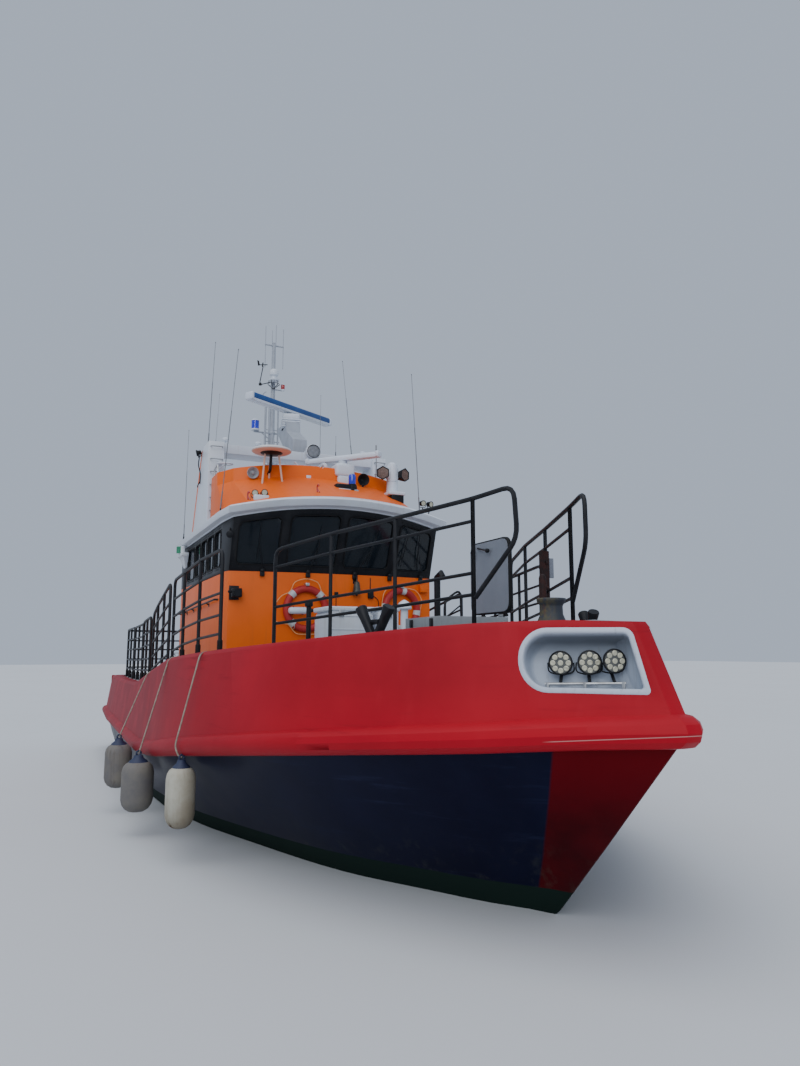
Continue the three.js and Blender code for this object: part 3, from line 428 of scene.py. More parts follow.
def runs_down(wires, entry):
    narrow = wires.stretched(entry["Vector"], 1, 1, 0.07)
    line = wires.noise(narrow, entry["Scale"], 3, 0.6)
    broken = wires.noise(entry["Vector"], 1.7, 3)
    return wires.times(wires.band(line, 0.54, 0.74), wires.band(broken, 0.4, 0.6))


def rubs_along(wires, entry):
    narrow = wires.stretched(entry["Vector"], 0.09, 0.09, 1)
    line = wires.noise(narrow, entry["Scale"], 5, 0.65)
    broken = wires.noise(entry["Vector"], 1.1, 4)
    return wires.times(wires.band(line, 0.56, 0.72), wires.band(broken, 0.42, 0.62))


def grain(wires, entry):
    fine = wires.noise(entry["Vector"], entry["Scale"], 4, 0.6)
    wave = wires.noise(entry["Vector"], 2.2, 2, 0.5)
    return wires.calc("ADD", wires.times(fine, 0.5), wave)


EFFECTS = {
    "mottle": (mottle, [("Scale", 1.5)]),
    "runs_down": (runs_down, [("Scale", 9.0)]),
    "rubs_along": (rubs_along, [("Scale", 9.0)]),
    "grain": (grain, [("Scale", 60.0)]),
}


class Coat:
    """A painted or bare finish, built up from a base colour with wear and dirt, and in some finishes painted
    shade and highlight, over it
    """

    def __init__(self, name, base, rough=0.4, metallic=0.0, clear=0.0, gloss=0.4):
        self.material = bpy.data.materials.new(name)
        self.material.use_nodes = True
        self.wires = Wiring(self.material.node_tree)
        self.shader = self.material.node_tree.nodes["Principled BSDF"]
        self.place = self.wires.add("ShaderNodeTexCoord").outputs["Object"]
        self.colour = (*base, 1)
        self.rough = rough
        self.shader.inputs["Metallic"].default_value = metallic
        self.shader.inputs["Specular IOR Level"].default_value = gloss
        if clear:
            self.shader.inputs["Coat Weight"].default_value = clear
            self.shader.inputs["Coat Roughness"].default_value = 0.12

    def mask(self, kind, scale):
        build, inputs = EFFECTS[kind]
        node = self.wires.add("ShaderNodeGroup", node_tree=effect(kind, build, inputs))
        self.wires.feed(node.inputs["Vector"], self.place)
        node.inputs["Scale"].default_value = scale
        return node.outputs["Mask"]

    def wear(self, kind, scale, colour, strength=1.0, rough=None):
        """Lays a second colour over the first where the effect's mask shows"""
        mask = self.wires.times(self.mask(kind, scale), strength)
        return self.over(mask, colour, rough)

    def over(self, mask, colour, rough=None):
        self.colour = self.wires.tint(mask, self.colour, (*colour, 1))
        if rough is not None:
            self.rough = self.wires.add(
                "ShaderNodeMapRange", {"Value": mask, "To Min": self.rough, "To Max": rough}
            ).outputs["Result"]
        return self

    def bump(self, kind, scale, height, strength=0.4):
        node = self.wires.add("ShaderNodeBump", {"Height": self.mask(kind, scale)})
        node.inputs["Distance"].default_value = height
        node.inputs["Strength"].default_value = strength
        self.wires.feed(self.shader.inputs["Normal"], node.outputs["Normal"])
        return self

    def axis(self, letter):
        return self.wires.add("ShaderNodeSeparateXYZ", {"Vector": self.place}).outputs[letter]

    def done(self):
        self.wires.feed(self.shader.inputs["Base Color"], self.colour)
        self.wires.feed(self.shader.inputs["Roughness"], self.rough)
        return self.material


def hull_paint():
    """Navy sides with a red forefoot, a worn boot top and bottom paint"""
    coat = Coat("hull_paint", paint("navy"), 0.3, gloss=0.06)
    coat.wear("mottle", 0.8, (0.008, 0.01, 0.034), 0.6, 0.42)
    coat.wear("rubs_along", 12, (0.022, 0.028, 0.07), 0.5, 0.55)
    wires, x, z = coat.wires, coat.axis("X"), coat.axis("Z")
    # the red starts at a line that leans forward with height
    line = wires.calc("SUBTRACT", x, wires.times(z, 0.722))
    red = wires.band(line, 6.66, 6.676)
    forefoot = wires.tint(coat.mask("mottle", 1.6), (0.075, 0.001, 0.004), (0.04, 0.001, 0.003))
    lit = wires.band(z, 0.9, 1.5)
    forefoot = wires.tint(lit, forefoot, (0.12, 0.001, 0.005))
    coat.colour = wires.tint(red, coat.colour, forefoot)
    scum = wires.times(wires.band(z, 0.75, 0.2), coat.mask("runs_down", 11))
    coat.over(wires.times(scum, 0.25), (0.1, 0.11, 0.08), 0.6)
    top = wires.band(z, LIFT + 0.205, LIFT + 0.195)
    coat.over(top, paint("antifoul"), 0.75)
    deck = wires.band(z, 1.3, 1.35)
    up = wires.add("ShaderNodeSeparateXYZ", {"Vector": wires.add("ShaderNodeNewGeometry").outputs["Normal"]})
    coat.over(wires.times(deck, wires.band(up.outputs["Z"], 0.6, 0.7)), paint("grey"), 0.8)
    return coat.bump("grain", 5, 0.004, 0.3).done()


def belt_red():
    coat = Coat("belt_red", paint("red"), 0.48, gloss=0.12)
    coat.wear("mottle", 0.7, (0.26, 0.004, 0.012), 0.8, 0.5)
    coat.wear("runs_down", 7, (0.36, 0.014, 0.025), 0.35, 0.6)
    coat.wear("rubs_along", 16, (0.1, 0.004, 0.01), 0.5, 0.6)
    wires, x, z = coat.wires, coat.axis("X"), coat.axis("Z")
    aft = wires.times(wires.band(x, 4.6, 1.2),
        wires.calc("ADD", coat.mask("mottle", 2.6), 0.4, True))
    coat.over(wires.times(aft, 0.55), (0.17, 0.035, 0.045), 0.65)
    # brighter, glossier red on the roll towards the bow: a painted highlight
    roll = wires.times(wires.band(z, 2.05, 1.6), wires.band(x, 4.5, 7.5))
    coat.over(wires.times(roll, 0.5), (0.5, 0.006, 0.02), 0.34)
    # a pale seam along the underside of the roll at the bow
    rise = wires.calc("SUBTRACT", z, wires.times(x, 0.108))
    off = wires.calc("ABSOLUTE", wires.calc("SUBTRACT", rise, 0.725 + LIFT))
    seam = wires.times(wires.band(off, 0.0045, 0.002), wires.band(x, 7.86, 7.93))
    coat.over(wires.times(seam, 0.8), (0.55, 0.3, 0.28), 0.6)
    return coat.bump("grain", 7, 0.006, 0.4).done()


def tray_white():
    """White at the rim, in the shade within"""
    coat = Coat("tray_white", (0.5, 0.55, 0.64), 0.3)
    coat.wear("mottle", 3, (0.42, 0.46, 0.53), 0.5, 0.42)
    wires, x, y, z = coat.wires, coat.axis("X"), coat.axis("Y"), coat.axis("Z")
    # distance behind the bow face
    out = FACE_OUT
    reach = wires.calc("ADD", wires.times(x, out.x), wires.times(z, out.z))
    reach = wires.calc("ADD", reach, wires.times(wires.calc("ABSOLUTE", y), out.y))
    depth = wires.calc("SUBTRACT", out.dot(FACE_CORNER) + out.z * LIFT, reach)
    coat.over(wires.band(depth, 0.01, 0.07), (0.36, 0.41, 0.49), 0.4)
    shade = wires.times(wires.band(depth, 0.01, 0.07), wires.band(z, 2.15 + LIFT, 2.33 + LIFT))
    coat.over(wires.times(shade, 0.85), (0.13, 0.145, 0.17), 0.4)
    coat.wear("runs_down", 30, (0.16, 0.16, 0.16), 0.4)
    return coat.bump("grain", 90, 0.0006, 0.3).done()


def pane_glass():
    coat = Coat("pane_glass", (0.01, 0.014, 0.02), 0.06, gloss=0.4)
    coat.wear("mottle", 2.0, (0.018, 0.024, 0.03), 0.5, 0.1)
    coat.shader.inputs["Alpha"].default_value = 0.88
    return coat.bump("mottle", 1.4, 0.0008, 0.15).done()


def moss_grey():
    """Grey paint with rust and moss on its starboard side"""
    coat = Coat("moss_grey", (0.03, 0.036, 0.048), 0.5, gloss=0.25)
    coat.wear("mottle", 5, (0.055, 0.062, 0.075), 0.6, 0.6)
    wires = coat.wires
    side = wires.band(coat.axis("Y"), 0.0, -0.13)
    coat.over(wires.times(side, coat.mask("mottle", 22)), (0.13, 0.11, 0.05), 0.8)
    coat.over(wires.times(side, coat.mask("runs_down", 30)), (0.17, 0.07, 0.03), 0.8)
    return coat.bump("grain", 60, 0.002, 0.5).done()


def amber_lens():
    """Brown glass over a fine mesh"""
    coat = Coat("amber_lens", (0.075, 0.032, 0.022), 0.2)
    cells = coat.wires.add("ShaderNodeTexVoronoi", {"Vector": coat.place, "Scale": 70.0},
        feature="DISTANCE_TO_EDGE")
    coat.over(coat.wires.band(cells.outputs["Distance"], 0.12, 0.04), (0.22, 0.14, 0.11), 0.3)
    return coat.bump("grain", 200, 0.0008, 0.4).done()


def fender_white():
    """Cream vinyl, stained brown and painted darker with shade towards the foot"""
    coat = Coat("fender_white", (0.46, 0.45, 0.38), 0.5, gloss=0.25)
    coat.wear("mottle", 3.5, (0.26, 0.22, 0.15), 0.6, 0.65)
    coat.wear("runs_down", 26, (0.14, 0.09, 0.05), 0.55, 0.7)
    wires = coat.wires
    # across the boat and forward: the side that rubs on the hull
    inner = wires.calc("ADD", wires.times(coat.axis("X"), 0.407),
        wires.times(coat.axis("Y"), 0.914))
    rub = wires.times(wires.band(inner, -1.12, -0.99), wires.band(coat.axis("Z"), 1.0, 0.75))
    rub = wires.times(rub, wires.calc("ADD", coat.mask("runs_down", 12), 0.35, True))
    coat.over(rub, (0.17, 0.115, 0.055), 0.7)
    # the lower part is darkened all over as painted shade, with brown stains running down over it
    stains_and_shade = wires.calc("ADD", wires.times(coat.mask("runs_down", 14), 1.2), 0.45, True)
    coat.over(wires.times(wires.band(coat.axis("Z"), 0.72, 0.4), stains_and_shade),
        (0.075, 0.048, 0.026), 0.8)
    return coat.bump("grain", 26, 0.003, 0.4).done()


def disc_white():
    """White over and warm tan under the rim, with stains running down"""
    coat = Coat("disc_white", (0.66, 0.67, 0.68), 0.35)
    coat.wear("mottle", 5, (0.55, 0.54, 0.52), 0.5, 0.5)
    under = coat.wires.band(coat.axis("Z"), 5.655 + LIFT, 5.64 + LIFT)
    coat.over(under, (0.62, 0.4, 0.31), 0.5)
    coat.wear("runs_down", 30, (0.35, 0.3, 0.27), 0.3)
    return coat.bump("grain", 90, 0.0006, 0.3).done()


def floor_pale():
    coat = Coat("floor_pale", (0.62, 0.64, 0.66), 0.55)
    coat.wear("mottle", 0.12, (0.58, 0.6, 0.62), 0.5, 0.62)
    return coat.done()


# columns: base colour or the name of a paint, roughness, the coat's settings, wear, bump
PLAIN_FINISHES = {
    "house_orange": ("orange", 0.38, {"gloss": 0.2},
        [("mottle", 0.9, (0.66, 0.1, 0.008), 0.55, 0.46),
         ("runs_down", 12, (0.42, 0.1, 0.02), 0.3, 0.5)],
        ("grain", 120, 0.0006, 0.35)),
    "gloss_white": ("white", 0.3, {},
        [("mottle", 1.2, (0.6, 0.62, 0.62), 0.5, 0.42), ("runs_down", 14, (0.4, 0.37, 0.32), 0.35, 0.5)],
        ("grain", 90, 0.0006, 0.3)),
    "satin_black": ("black", 0.34, {"gloss": 0.18},
        [("mottle", 3.0, (0.018, 0.019, 0.022), 0.7, 0.48),
         ("runs_down", 20, (0.05, 0.05, 0.05), 0.25, 0.6)],
        ("grain", 160, 0.0008, 0.4)),
    "rubber_black": ((0.006, 0.006, 0.007), 0.55, {"gloss": 0.2},
        [("mottle", 12, (0.014, 0.014, 0.015), 0.7, 0.7)],
        ("grain", 300, 0.0008, 0.4)),
    "rail_black": ("black", 0.36, {"gloss": 0.18},
        [("mottle", 9.0, (0.025, 0.026, 0.03), 0.6, 0.5),
         ("rubs_along", 60, (0.1, 0.055, 0.035), 0.35, 0.7)],
        ("grain", 200, 0.0006, 0.4)),
    "deck_grey": ("grey", 0.62, {},
        [("mottle", 2.2, (0.18, 0.19, 0.2), 0.7, 0.75), ("runs_down", 16, (0.12, 0.09, 0.07), 0.3)],
        ("grain", 240, 0.0015, 0.5)),
    "lid_grey": ((0.22, 0.24, 0.28), 0.4, {"gloss": 0.3},
        [("mottle", 2.5, (0.18, 0.2, 0.24), 0.6, 0.5), ("runs_down", 24, (0.14, 0.13, 0.12), 0.3)],
        ("grain", 120, 0.0008, 0.4)),
    "bare_steel": ((0.55, 0.56, 0.57), 0.26, {"metallic": 0.9},
        [("mottle", 14, (0.3, 0.29, 0.27), 0.6, 0.45)],
        ("rubs_along", 90, 0.0004, 0.3)),
    "bronze": ((0.42, 0.24, 0.08), 0.3, {"metallic": 0.9},
        [("mottle", 6, (0.16, 0.16, 0.1), 0.7, 0.6)],
        ("grain", 60, 0.001, 0.3)),
    "old_bronze": ((0.055, 0.052, 0.045), 0.42, {"metallic": 0.4},
        [("mottle", 10, (0.1, 0.1, 0.085), 0.7, 0.55), ("runs_down", 40, (0.05, 0.07, 0.055), 0.5, 0.7)],
        ("grain", 90, 0.001, 0.3)),
    "bottom_paint": ("antifoul", 0.75, {},
        [("mottle", 4, (0.03, 0.05, 0.035), 0.8, 0.85)],
        ("grain", 60, 0.002, 0.5)),
    "lamp_glass": ((0.085, 0.088, 0.08), 0.2, {"clear": 1.0},
        [("mottle", 30, (0.05, 0.05, 0.045), 0.7, 0.3)],
        ("grain", 300, 0.0006, 0.4)),
    "plain_lens": ((0.52, 0.5, 0.36), 0.15, {"clear": 1.0},
        [("mottle", 25, (0.34, 0.33, 0.26), 0.7, 0.25)],
        ("grain", 200, 0.0006, 0.4)),
    "grey_lens": ((0.17, 0.18, 0.2), 0.12, {"clear": 1.0},
        [("mottle", 18, (0.26, 0.27, 0.29), 0.7, 0.2)],
        ("rubs_along", 160, 0.001, 0.4)),
    "rust_brown": ((0.02, 0.014, 0.014), 0.6, {"gloss": 0.15},
        [("mottle", 14, (0.07, 0.02, 0.016), 0.5, 0.75)],
        ("grain", 120, 0.002, 0.5)),
    "buoy_red": ((0.42, 0.022, 0.02), 0.5, {},
        [("mottle", 5, (0.3, 0.02, 0.02), 0.7, 0.6)],
        ("grain", 70, 0.002, 0.4)),
    "buoy_tape": ((0.55, 0.57, 0.58), 0.35, {},
        [("mottle", 12, (0.36, 0.37, 0.37), 0.7, 0.5)],
        ("grain", 300, 0.0006, 0.4)),
    "laid_rope": ((0.34, 0.3, 0.25), 0.85, {},
        [("mottle", 20, (0.18, 0.15, 0.12), 0.8, 0.95)],
        ("grain", 500, 0.003, 0.8)),
    "grab_line": ((0.85, 0.45, 0.18), 0.7, {},
        [("mottle", 25, (0.62, 0.34, 0.16), 0.7, 0.8)],
        ("grain", 700, 0.002, 0.7)),
    "fender_grey": ((0.13, 0.125, 0.125), 0.6, {"gloss": 0.2},
        [("mottle", 4, (0.22, 0.2, 0.16), 0.55, 0.75), ("runs_down", 22, (0.08, 0.06, 0.05), 0.6)],
        ("grain", 26, 0.003, 0.4)),
    "fender_blue": ((0.012, 0.02, 0.06), 0.5, {},
        [("mottle", 9, (0.03, 0.04, 0.08), 0.7, 0.65)],
        ("grain", 60, 0.002, 0.4)),
    "scanner_blue": ("blue", 0.3, {},
        [("mottle", 4, (0.02, 0.09, 0.28), 0.6, 0.4)],
        ("grain", 120, 0.0005, 0.3)),
    "cast_grey": ((0.3, 0.32, 0.35), 0.5, {},
        [("mottle", 9, (0.2, 0.21, 0.22), 0.7, 0.6), ("runs_down", 40, (0.12, 0.1, 0.09), 0.4)],
        ("grain", 160, 0.0008, 0.4)),
    # grey of the mast; on the white radar pedestal it is painted shade
    "mast_grey": ((0.36, 0.39, 0.44), 0.4, {},
        [("mottle", 5, (0.26, 0.28, 0.32), 0.6, 0.5), ("runs_down", 30, (0.18, 0.17, 0.16), 0.4)],
        ("grain", 140, 0.0006, 0.4)),
    "whip_grey": ((0.12, 0.13, 0.145), 0.4, {},
        [("mottle", 6, (0.22, 0.23, 0.25), 0.5, 0.5)],
        ("grain", 200, 0.0004, 0.3)),
    "beacon_blue": ((0.004, 0.012, 0.45), 0.08, {"clear": 1.0},
        [("mottle", 25, (0.01, 0.03, 0.75), 0.5, 0.15)],
        ("rubs_along", 160, 0.002, 0.5)),
    "port_red": ((0.42, 0.006, 0.008), 0.1, {"clear": 1.0},
        [("mottle", 25, (0.2, 0.004, 0.006), 0.5, 0.15)],
        ("rubs_along", 160, 0.002, 0.5)),
    "starboard_green": ((0.006, 0.22, 0.1), 0.1, {"clear": 1.0},
        [("mottle", 25, (0.004, 0.1, 0.05), 0.5, 0.15)],
        ("rubs_along", 160, 0.002, 0.5)),
    "seat_cloth": ((0.02, 0.022, 0.026), 0.8, {},
        [("mottle", 14, (0.035, 0.037, 0.04), 0.7, 0.9)],
        ("grain", 600, 0.001, 0.6)),
}


def plain_finish(name):
    """A finish from its row in the table"""
    base, rough, settings, wear, bump = PLAIN_FINISHES[name]
    coat = Coat(name, paint(base) if isinstance(base, str) else base, rough, **settings)
    for row in wear:
        coat.wear(*row)
    return coat.bump(*bump).done()


OWN_FINISHES = (
    hull_paint, belt_red, tray_white, pane_glass, moss_grey, amber_lens, fender_white, disc_white,
    floor_pale,
)


def finish(name):
    """The named material, made the first time it is asked for"""
    made = bpy.data.materials.get(name)
    if made:
        return made
    if name in PLAIN_FINISHES:
        return plain_finish(name)
    return next(build for build in OWN_FINISHES if build.__name__ == name)()


# Stage
CAMERA_AT = (13.15, -4.325, 2.3)
CAMERA_TURN = (radians(98.46), 0, radians(66))
CAMERA_LENS = 27.017  # millimetres, on a 36 mm frame's long side
FLOOR_HALF = 150.0


class LIFEBOAT_OT_stage(bpy.types.Operator):
    """Sets the camera, the soft light and the pale floor at the waterline"""

    bl_idname = "lifeboat.stage"
    bl_label = "Stage"

    def execute(self, context):
        bpy.ops.object.camera_add(location=CAMERA_AT, rotation=CAMERA_TURN)
        camera = context.active_object
        camera.data.lens = CAMERA_LENS
        camera.data.clip_end = 500
        context.scene.camera = camera
        bpy.ops.mesh.primitive_grid_add(x_subdivisions=8, y_subdivisions=8, size=2 * FLOOR_HALF)
        floor = context.active_object
        floor.name = "floor"
        coated(floor, "floor_pale")
        for name, turn, spread, power in (("light_over", (20, 8, 0), 70, 1.5),
                ("light_bow", (62, 0, 66), 40, 0.9)):
            bpy.ops.object.light_add(type="SUN", location=(0, 0, 30),
                rotation=[radians(a) for a in turn])
            lamp = context.active_object
            lamp.name = name
            lamp.data.angle = radians(spread)
            lamp.data.energy = power
        world = bpy.data.worlds.new("studio")
        world.use_nodes = True
        back = world.node_tree.nodes["Background"]
        back.inputs["Color"].default_value = (0.67, 0.77, 0.94, 1)
        back.inputs["Strength"].default_value = 0.66
        context.scene.world = world
        return {"FINISHED"}


# Hull and belt
class LIFEBOAT_OT_hull(bpy.types.Operator):
    """Dresses the hull, the fender belt and what lies under water"""

    bl_idname = "lifeboat.hull"
    bl_label = "Hull and belt"

    def execute(self, context):
        dressed("hull", "hull_paint", 0, degrees=28, name="hull_shell", slot="navy", flat=0)
        for side, _ in SIDES:
            dressed(f"belt_{side}", "belt_red", 0.012, 3, 42, slot="red")
        dressed("belt_stern", "belt_red", 0.02, 3, 42, slot="red")
        dressed("stem_pad", "belt_red", 0.014, 3, 42, slot="red")
        dressed("centre_skeg", "bottom_paint", 0.03, 3)
        for side, _ in SIDES:
            dressed(f"shaft_keel_{side}", "bottom_paint", 0.02)
            dressed(f"propeller_shaft_{side}", "bare_steel", 0.004)
            dressed(f"propeller_{side}", "bronze", 0.006)
            dressed(f"rudder_{side}", "bottom_paint", 0.006)
        anodes = [block(x - 0.15, x + 0.15, min(y, y + side * 0.03), max(y, y + side * 0.03), z - 0.04,
            z + 0.04, 0.012) for x, y, z, side in ((-5.6, 0.088, -1.35, 1), (-5.6, -0.088, -1.35, -1),
            (-3.4, 0.088, -1.35, 1), (-3.4, -0.088, -1.35, -1), (-3.2, 1.333, -1.0, 1),
            (-3.2, -1.333, -1.0, -1))]
        piece("anodes", anodes, "bare_steel", slot=None)
        return {"FINISHED"}


# Bow lamps
FACE_TURN = radians(40.7)
FACE_TILT = radians(21)
FACE_CORNER = Vector((8.13, 0.068, 2.495))
FACE_OUT = Vector((sin(FACE_TURN) * cos(FACE_TILT), cos(FACE_TURN) * cos(FACE_TILT),
                   sin(FACE_TILT)))
# columns: distance along the face, height, depth, turn from forward to the side in degrees
LAMPS = ((-0.595, 2.2, 0.09, 40), (-0.36, 2.205, 0.09, 26), (-0.165, 2.215, 0.085, 12))
LAMP_BAR = ((-0.72, 2.045, 0.13), (-0.08, 2.06, 0.13))


def face_point(along, z, depth):
    """A point on the port bow face, or behind it by the given depth"""
    drop = (FACE_CORNER.z - z) * tan(FACE_TILT) - depth * cos(FACE_TILT)
    return Vector((
        FACE_CORNER.x + cos(FACE_TURN) * along + sin(FACE_TURN) * drop,
        FACE_CORNER.y - sin(FACE_TURN) * along + cos(FACE_TURN) * drop,
        z - sin(FACE_TILT) * depth,
    ))


# Outline of the bow lamp tray's rim: distance along the face from the stem, height, corner radius
TRAY = ((-0.93, 2.452, 0.222), (-0.03, 2.452, 0.1), (0.13, 1.948, 0.03), (-0.93, 1.95, 0.268))
# Rings of the tray from its rim to its floor: how far inside the outline, depth behind the face
TRAY_RINGS = ((0.0, 0.02), (0.0, -0.002), (0.004, -0.005), (0.03, -0.005), (0.038, -0.002), (0.044, 0.01),
              (0.049, 0.04), (0.053, 0.1), (0.058, 0.16), (0.07, 0.186), (0.09, 0.198))
CORNER_POINTS = 10
EDGE_POINTS = 8


def tray_outline(inset):
    """The tray's outline drawn inward by a distance, as points along the face and up"""
    points = []
    for i, (along, z, radius) in enumerate(TRAY):
        before, after = TRAY[i - 1], TRAY[(i + 1) % len(TRAY)]
        normals = []
        for x, y in ((along - before[0], z - before[1]), (after[0] - along, after[1] - z)):
            normals.append(Vector((y, -x)).normalized())
        radius = max(radius - inset, 0.018)
        reach = (inset + radius) / (1 + normals[0].dot(normals[1]))
        middle = Vector((along, z)) + (normals[0] + normals[1]) * reach
        arc = [middle - normals[0].slerp(normals[1], k / (CORNER_POINTS - 1)) * radius
            for k in range(CORNER_POINTS)]
        if points:
            points += [points[-1].lerp(arc[0], k / EDGE_POINTS) for k in range(1, EDGE_POINTS)]
        points += arc
    return points + [points[-1].lerp(points[0], k / EDGE_POINTS) for k in range(1, EDGE_POINTS)]


def lamp_tray(side):
    """The rounded tray that is let into the bow face, clear of the stem pad, its rim down on the face"""
    belt = frame["nodes"]["belt_port" if side > 0 else "belt_starboard"].data
    shell = BVHTree.FromPolygons([v.co for v in belt.vertices], [face.vertices for face in belt.polygons])
    away = Vector((FACE_OUT.x, FACE_OUT.y * side, FACE_OUT.z))
    dips = []
    for along, z in tray_outline(0.0):
        start = face_point(along, z, -0.1)
        start.y *= side
        _, _, _, far = shell.ray_cast(start + Vector((0, 0, LIFT)), -away, 0.2)
        dips.append(far - 0.1 if far else 0.0)
    rings = len(TRAY_RINGS)
    tray = turned([(k, 1 + k) for k in range(rings)], sides=len(dips))
    only(tray)
    for group in (tray.data.vertices, tray.data.edges):
        group.foreach_set("select", [False] * len(group))
    for face in tray.data.polygons:
        face.select = abs(face.center.z) < 0.1
    bpy.context.tool_settings.mesh_select_mode = (False, False, True)
    bpy.ops.object.mode_set(mode="EDIT")
    bpy.ops.mesh.delete(type="ONLY_FACE")
    bpy.ops.object.mode_set(mode="OBJECT")
    bpy.context.tool_settings.mesh_select_mode = (True, False, False)
    order = {}
    for vertex in tray.data.vertices:
        angle = atan2(vertex.co.y, vertex.co.x) % tau
        order.setdefault(round(vertex.co.z), []).append((angle, vertex.index))
    for ring, (inset, depth) in enumerate(TRAY_RINGS):
        outline = tray_outline(inset)
        for (_, index), (along, z), dip in zip(sorted(order[ring]), outline, dips):
            drop = (FACE_CORNER.z - z) * tan(FACE_TILT) - depth * cos(FACE_TILT)
            limit = (cos(FACE_TURN) * drop - 0.02) / sin(FACE_TURN)
            dip *= max(0.0, 1.0 - depth / 0.15)
            spot = face_point(min(along, limit) if depth > 0.03 else along, z, depth + dip)
            spot.y *= side
            tray.data.vertices[index].co = spot
    with editing(tray):
        bpy.ops.mesh.normals_make_consistent(inside=side < 0)
    return tray


def bow_lamp_set(side):
    """Three round lamps with ribbed backs on a bar, with their glasses"""
    radius = sizes().lamp
    ends = [face_point(*p) for p in LAMP_BAR]
    bars = [([ends[0], ends[1]], 0.013)]
    bodies, glasses, cups = [], [], []
    for along, z, depth, turn in LAMPS:
        at = face_point(along, z, depth)
        angle = radians(turn)
        way = Vector((cos(angle), sin(angle), 0))
        share = (along - LAMP_BAR[0][0]) / (LAMP_BAR[1][0] - LAMP_BAR[0][0])
        foot = ends[0].lerp(ends[1], share)
        rim = [(-0.062, 0.035), (-0.06, 0.05), (-0.05, 0.052), (-0.05, 0.07), (-0.042, 0.07),
            (-0.042, 0.058), (-0.034, 0.058), (-0.034, 0.078), (-0.026, 0.078), (-0.026, 0.064),
            (-0.018, 0.064), (-0.016, radius - 0.004), (-0.004, radius), (0.008, radius - 0.002),
            (0.01, radius - 0.01), (0.0, radius - 0.013)]
        bodies.append(turned(rim, at, way, 32))
        glasses.append(turned([(-0.002, radius - 0.012), (0.003, radius - 0.014), (0.005, 0.03)], at, way,
            32))
        facing = way.to_track_quat("Z", "Y").to_matrix().to_4x4()
        spots = [(0, 0)] + [(0.062 * cos(k * pi / 4), 0.062 * sin(k * pi / 4))
            for k in range(8)]
        cup = turned([(0.003, 0.0225), (0.009, 0.0215), (0.012, 0.014), (0.01, 0.006)], sides=14)
        cups += copies(cup, [(at + facing @ Vector((a, b, 0)), way) for a, b in spots])
        across = Vector((-way.y, way.x, 0)) * (radius + 0.006)
        low = Vector((0, 0, -0.075)) - way * 0.03
        back = at - way * 0.02
        bars.append(([back + across * 0.98, back + across + low, back + low * 1.35, back - across + low,
            back - across * 0.98], 0.006, 0.05))
        bars.append(([back + low * 1.3, foot], 0.014))
        bars.append(([back - way * 0.05, back - way * 0.05 + Vector((0, 0, -0.06)),
            foot + Vector((0.01, 0, 0.01))], 0.004, 0.04))
    feet = []
    for share in (0.03, 0.5, 0.97):
        foot = ends[0].lerp(ends[1], share)
        wall = face_point(mix(LAMP_BAR[0][0], LAMP_BAR[1][0], share), 2.02, 0.199)
        feet.append(([foot, wall], 0.011))
        feet.append(([foot + Vector((0, 0, 0.014)), foot - Vector((0, 0, 0.04))], 0.017))
    bodies.append(tubes(bars[1:]))
    steel = tubes(bars[:1] + feet)
    sets = [bodies, glasses, cups, [steel]]
    if side < 0:
        sets = [[twin(obj) for obj in group] for group in sets]
        for obj in bodies + glasses + cups + [steel]:
            bpy.data.objects.remove(obj)
    return sets


class LIFEBOAT_OT_bow_lamps(bpy.types.Operator):
    """Makes the white trays in the bow and the three lamps in each"""

    bl_idname = "lifeboat.bow_lamps"
    bl_label = "Bow lamps"

    def execute(self, context):
        for side, sign in SIDES:
            tray = piece(f"lamp_tray_{side}_body", [lamp_tray(sign)], "tray_white", degrees=50,
                slot="white")
            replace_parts(tray, f"lamp_tray_{side}")
            bodies, glasses, cups, bar = bow_lamp_set(sign)
            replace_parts(piece(f"lamp_bodies_{side}", bodies, "satin_black"), f"bow_lamps_{side}")
            piece(f"lamp_glasses_{side}", glasses, "lamp_glass")
            piece(f"lamp_cups_{side}", cups, "plain_lens")
            piece(f"lamp_bar_{side}", bar, "bare_steel")
        return {"FINISHED"}


# Rails
# columns: x, height of the deck's edge
SHEER = ((-8.45, 1.67), (-5.5, 1.67), (-1.6, 1.715), (0.3, 1.952), (1.8, 2.14), (3.0, 2.215), (5.0, 2.33),
         (6.3, 2.425), (7.1, 2.48), (8.2, 2.49))
# columns: x, y, top; starboard, mirrored to port
BOW_POSTS = ((6.45, -0.57, 3.73), (5.44, -0.95, 3.665), (4.44, -1.32, 3.61), (3.465, -1.71, 3.515))
BOW_LEVELS = (0.28, 0.44, 0.83)
BOW_TIP = ((6.47, -0.562, 2.766), (6.95, -0.385, 3.29), (6.925, -0.4, 3.785))
SIDE_POSTS = (
    ((3.3, -2.335, 3.515), (2.5, -2.455, 3.455), (1.65, -2.52, 3.365), (0.88, -2.54, 3.315)),
    ((0.45, -2.54, 3.305), (-0.2, -2.54, 3.18), (-0.95, -2.535, 3.04), (-1.48, -2.53, 2.915)),
    ((-1.9, -2.525, 2.88), (-2.5, -2.52, 2.855), (-3.05, -2.515, 2.825)),
    ((-3.35, -2.49, 2.8), (-4.25, -2.47, 2.79), (-5.15, -2.45, 2.78)),
    ((-5.3, -2.45, 2.78), (-6.2, -2.43, 2.78), (-7.15, -2.4, 2.78)),
)
SIDE_LEVELS = (0.19, 0.37, 0.58, 0.78)
STERN_POSTS = ((-7.3, -2.39), (-7.9, -2.33), (-8.15, -2.05), (-8.2, -1.0))
STERN_TOP = 2.78
CORNER = 0.12


def deck_at(x):
    for (x0, z0), (x1, z1) in zip(SHEER, SHEER[1:]):
        if x <= x1:
            return mix(z0, z1, (x - x0) / (x1 - x0))
    return SHEER[-1][1]


def flipped(points, side):
    return [(x, -side * y, z) for x, y, z in points] if side > 0 else points


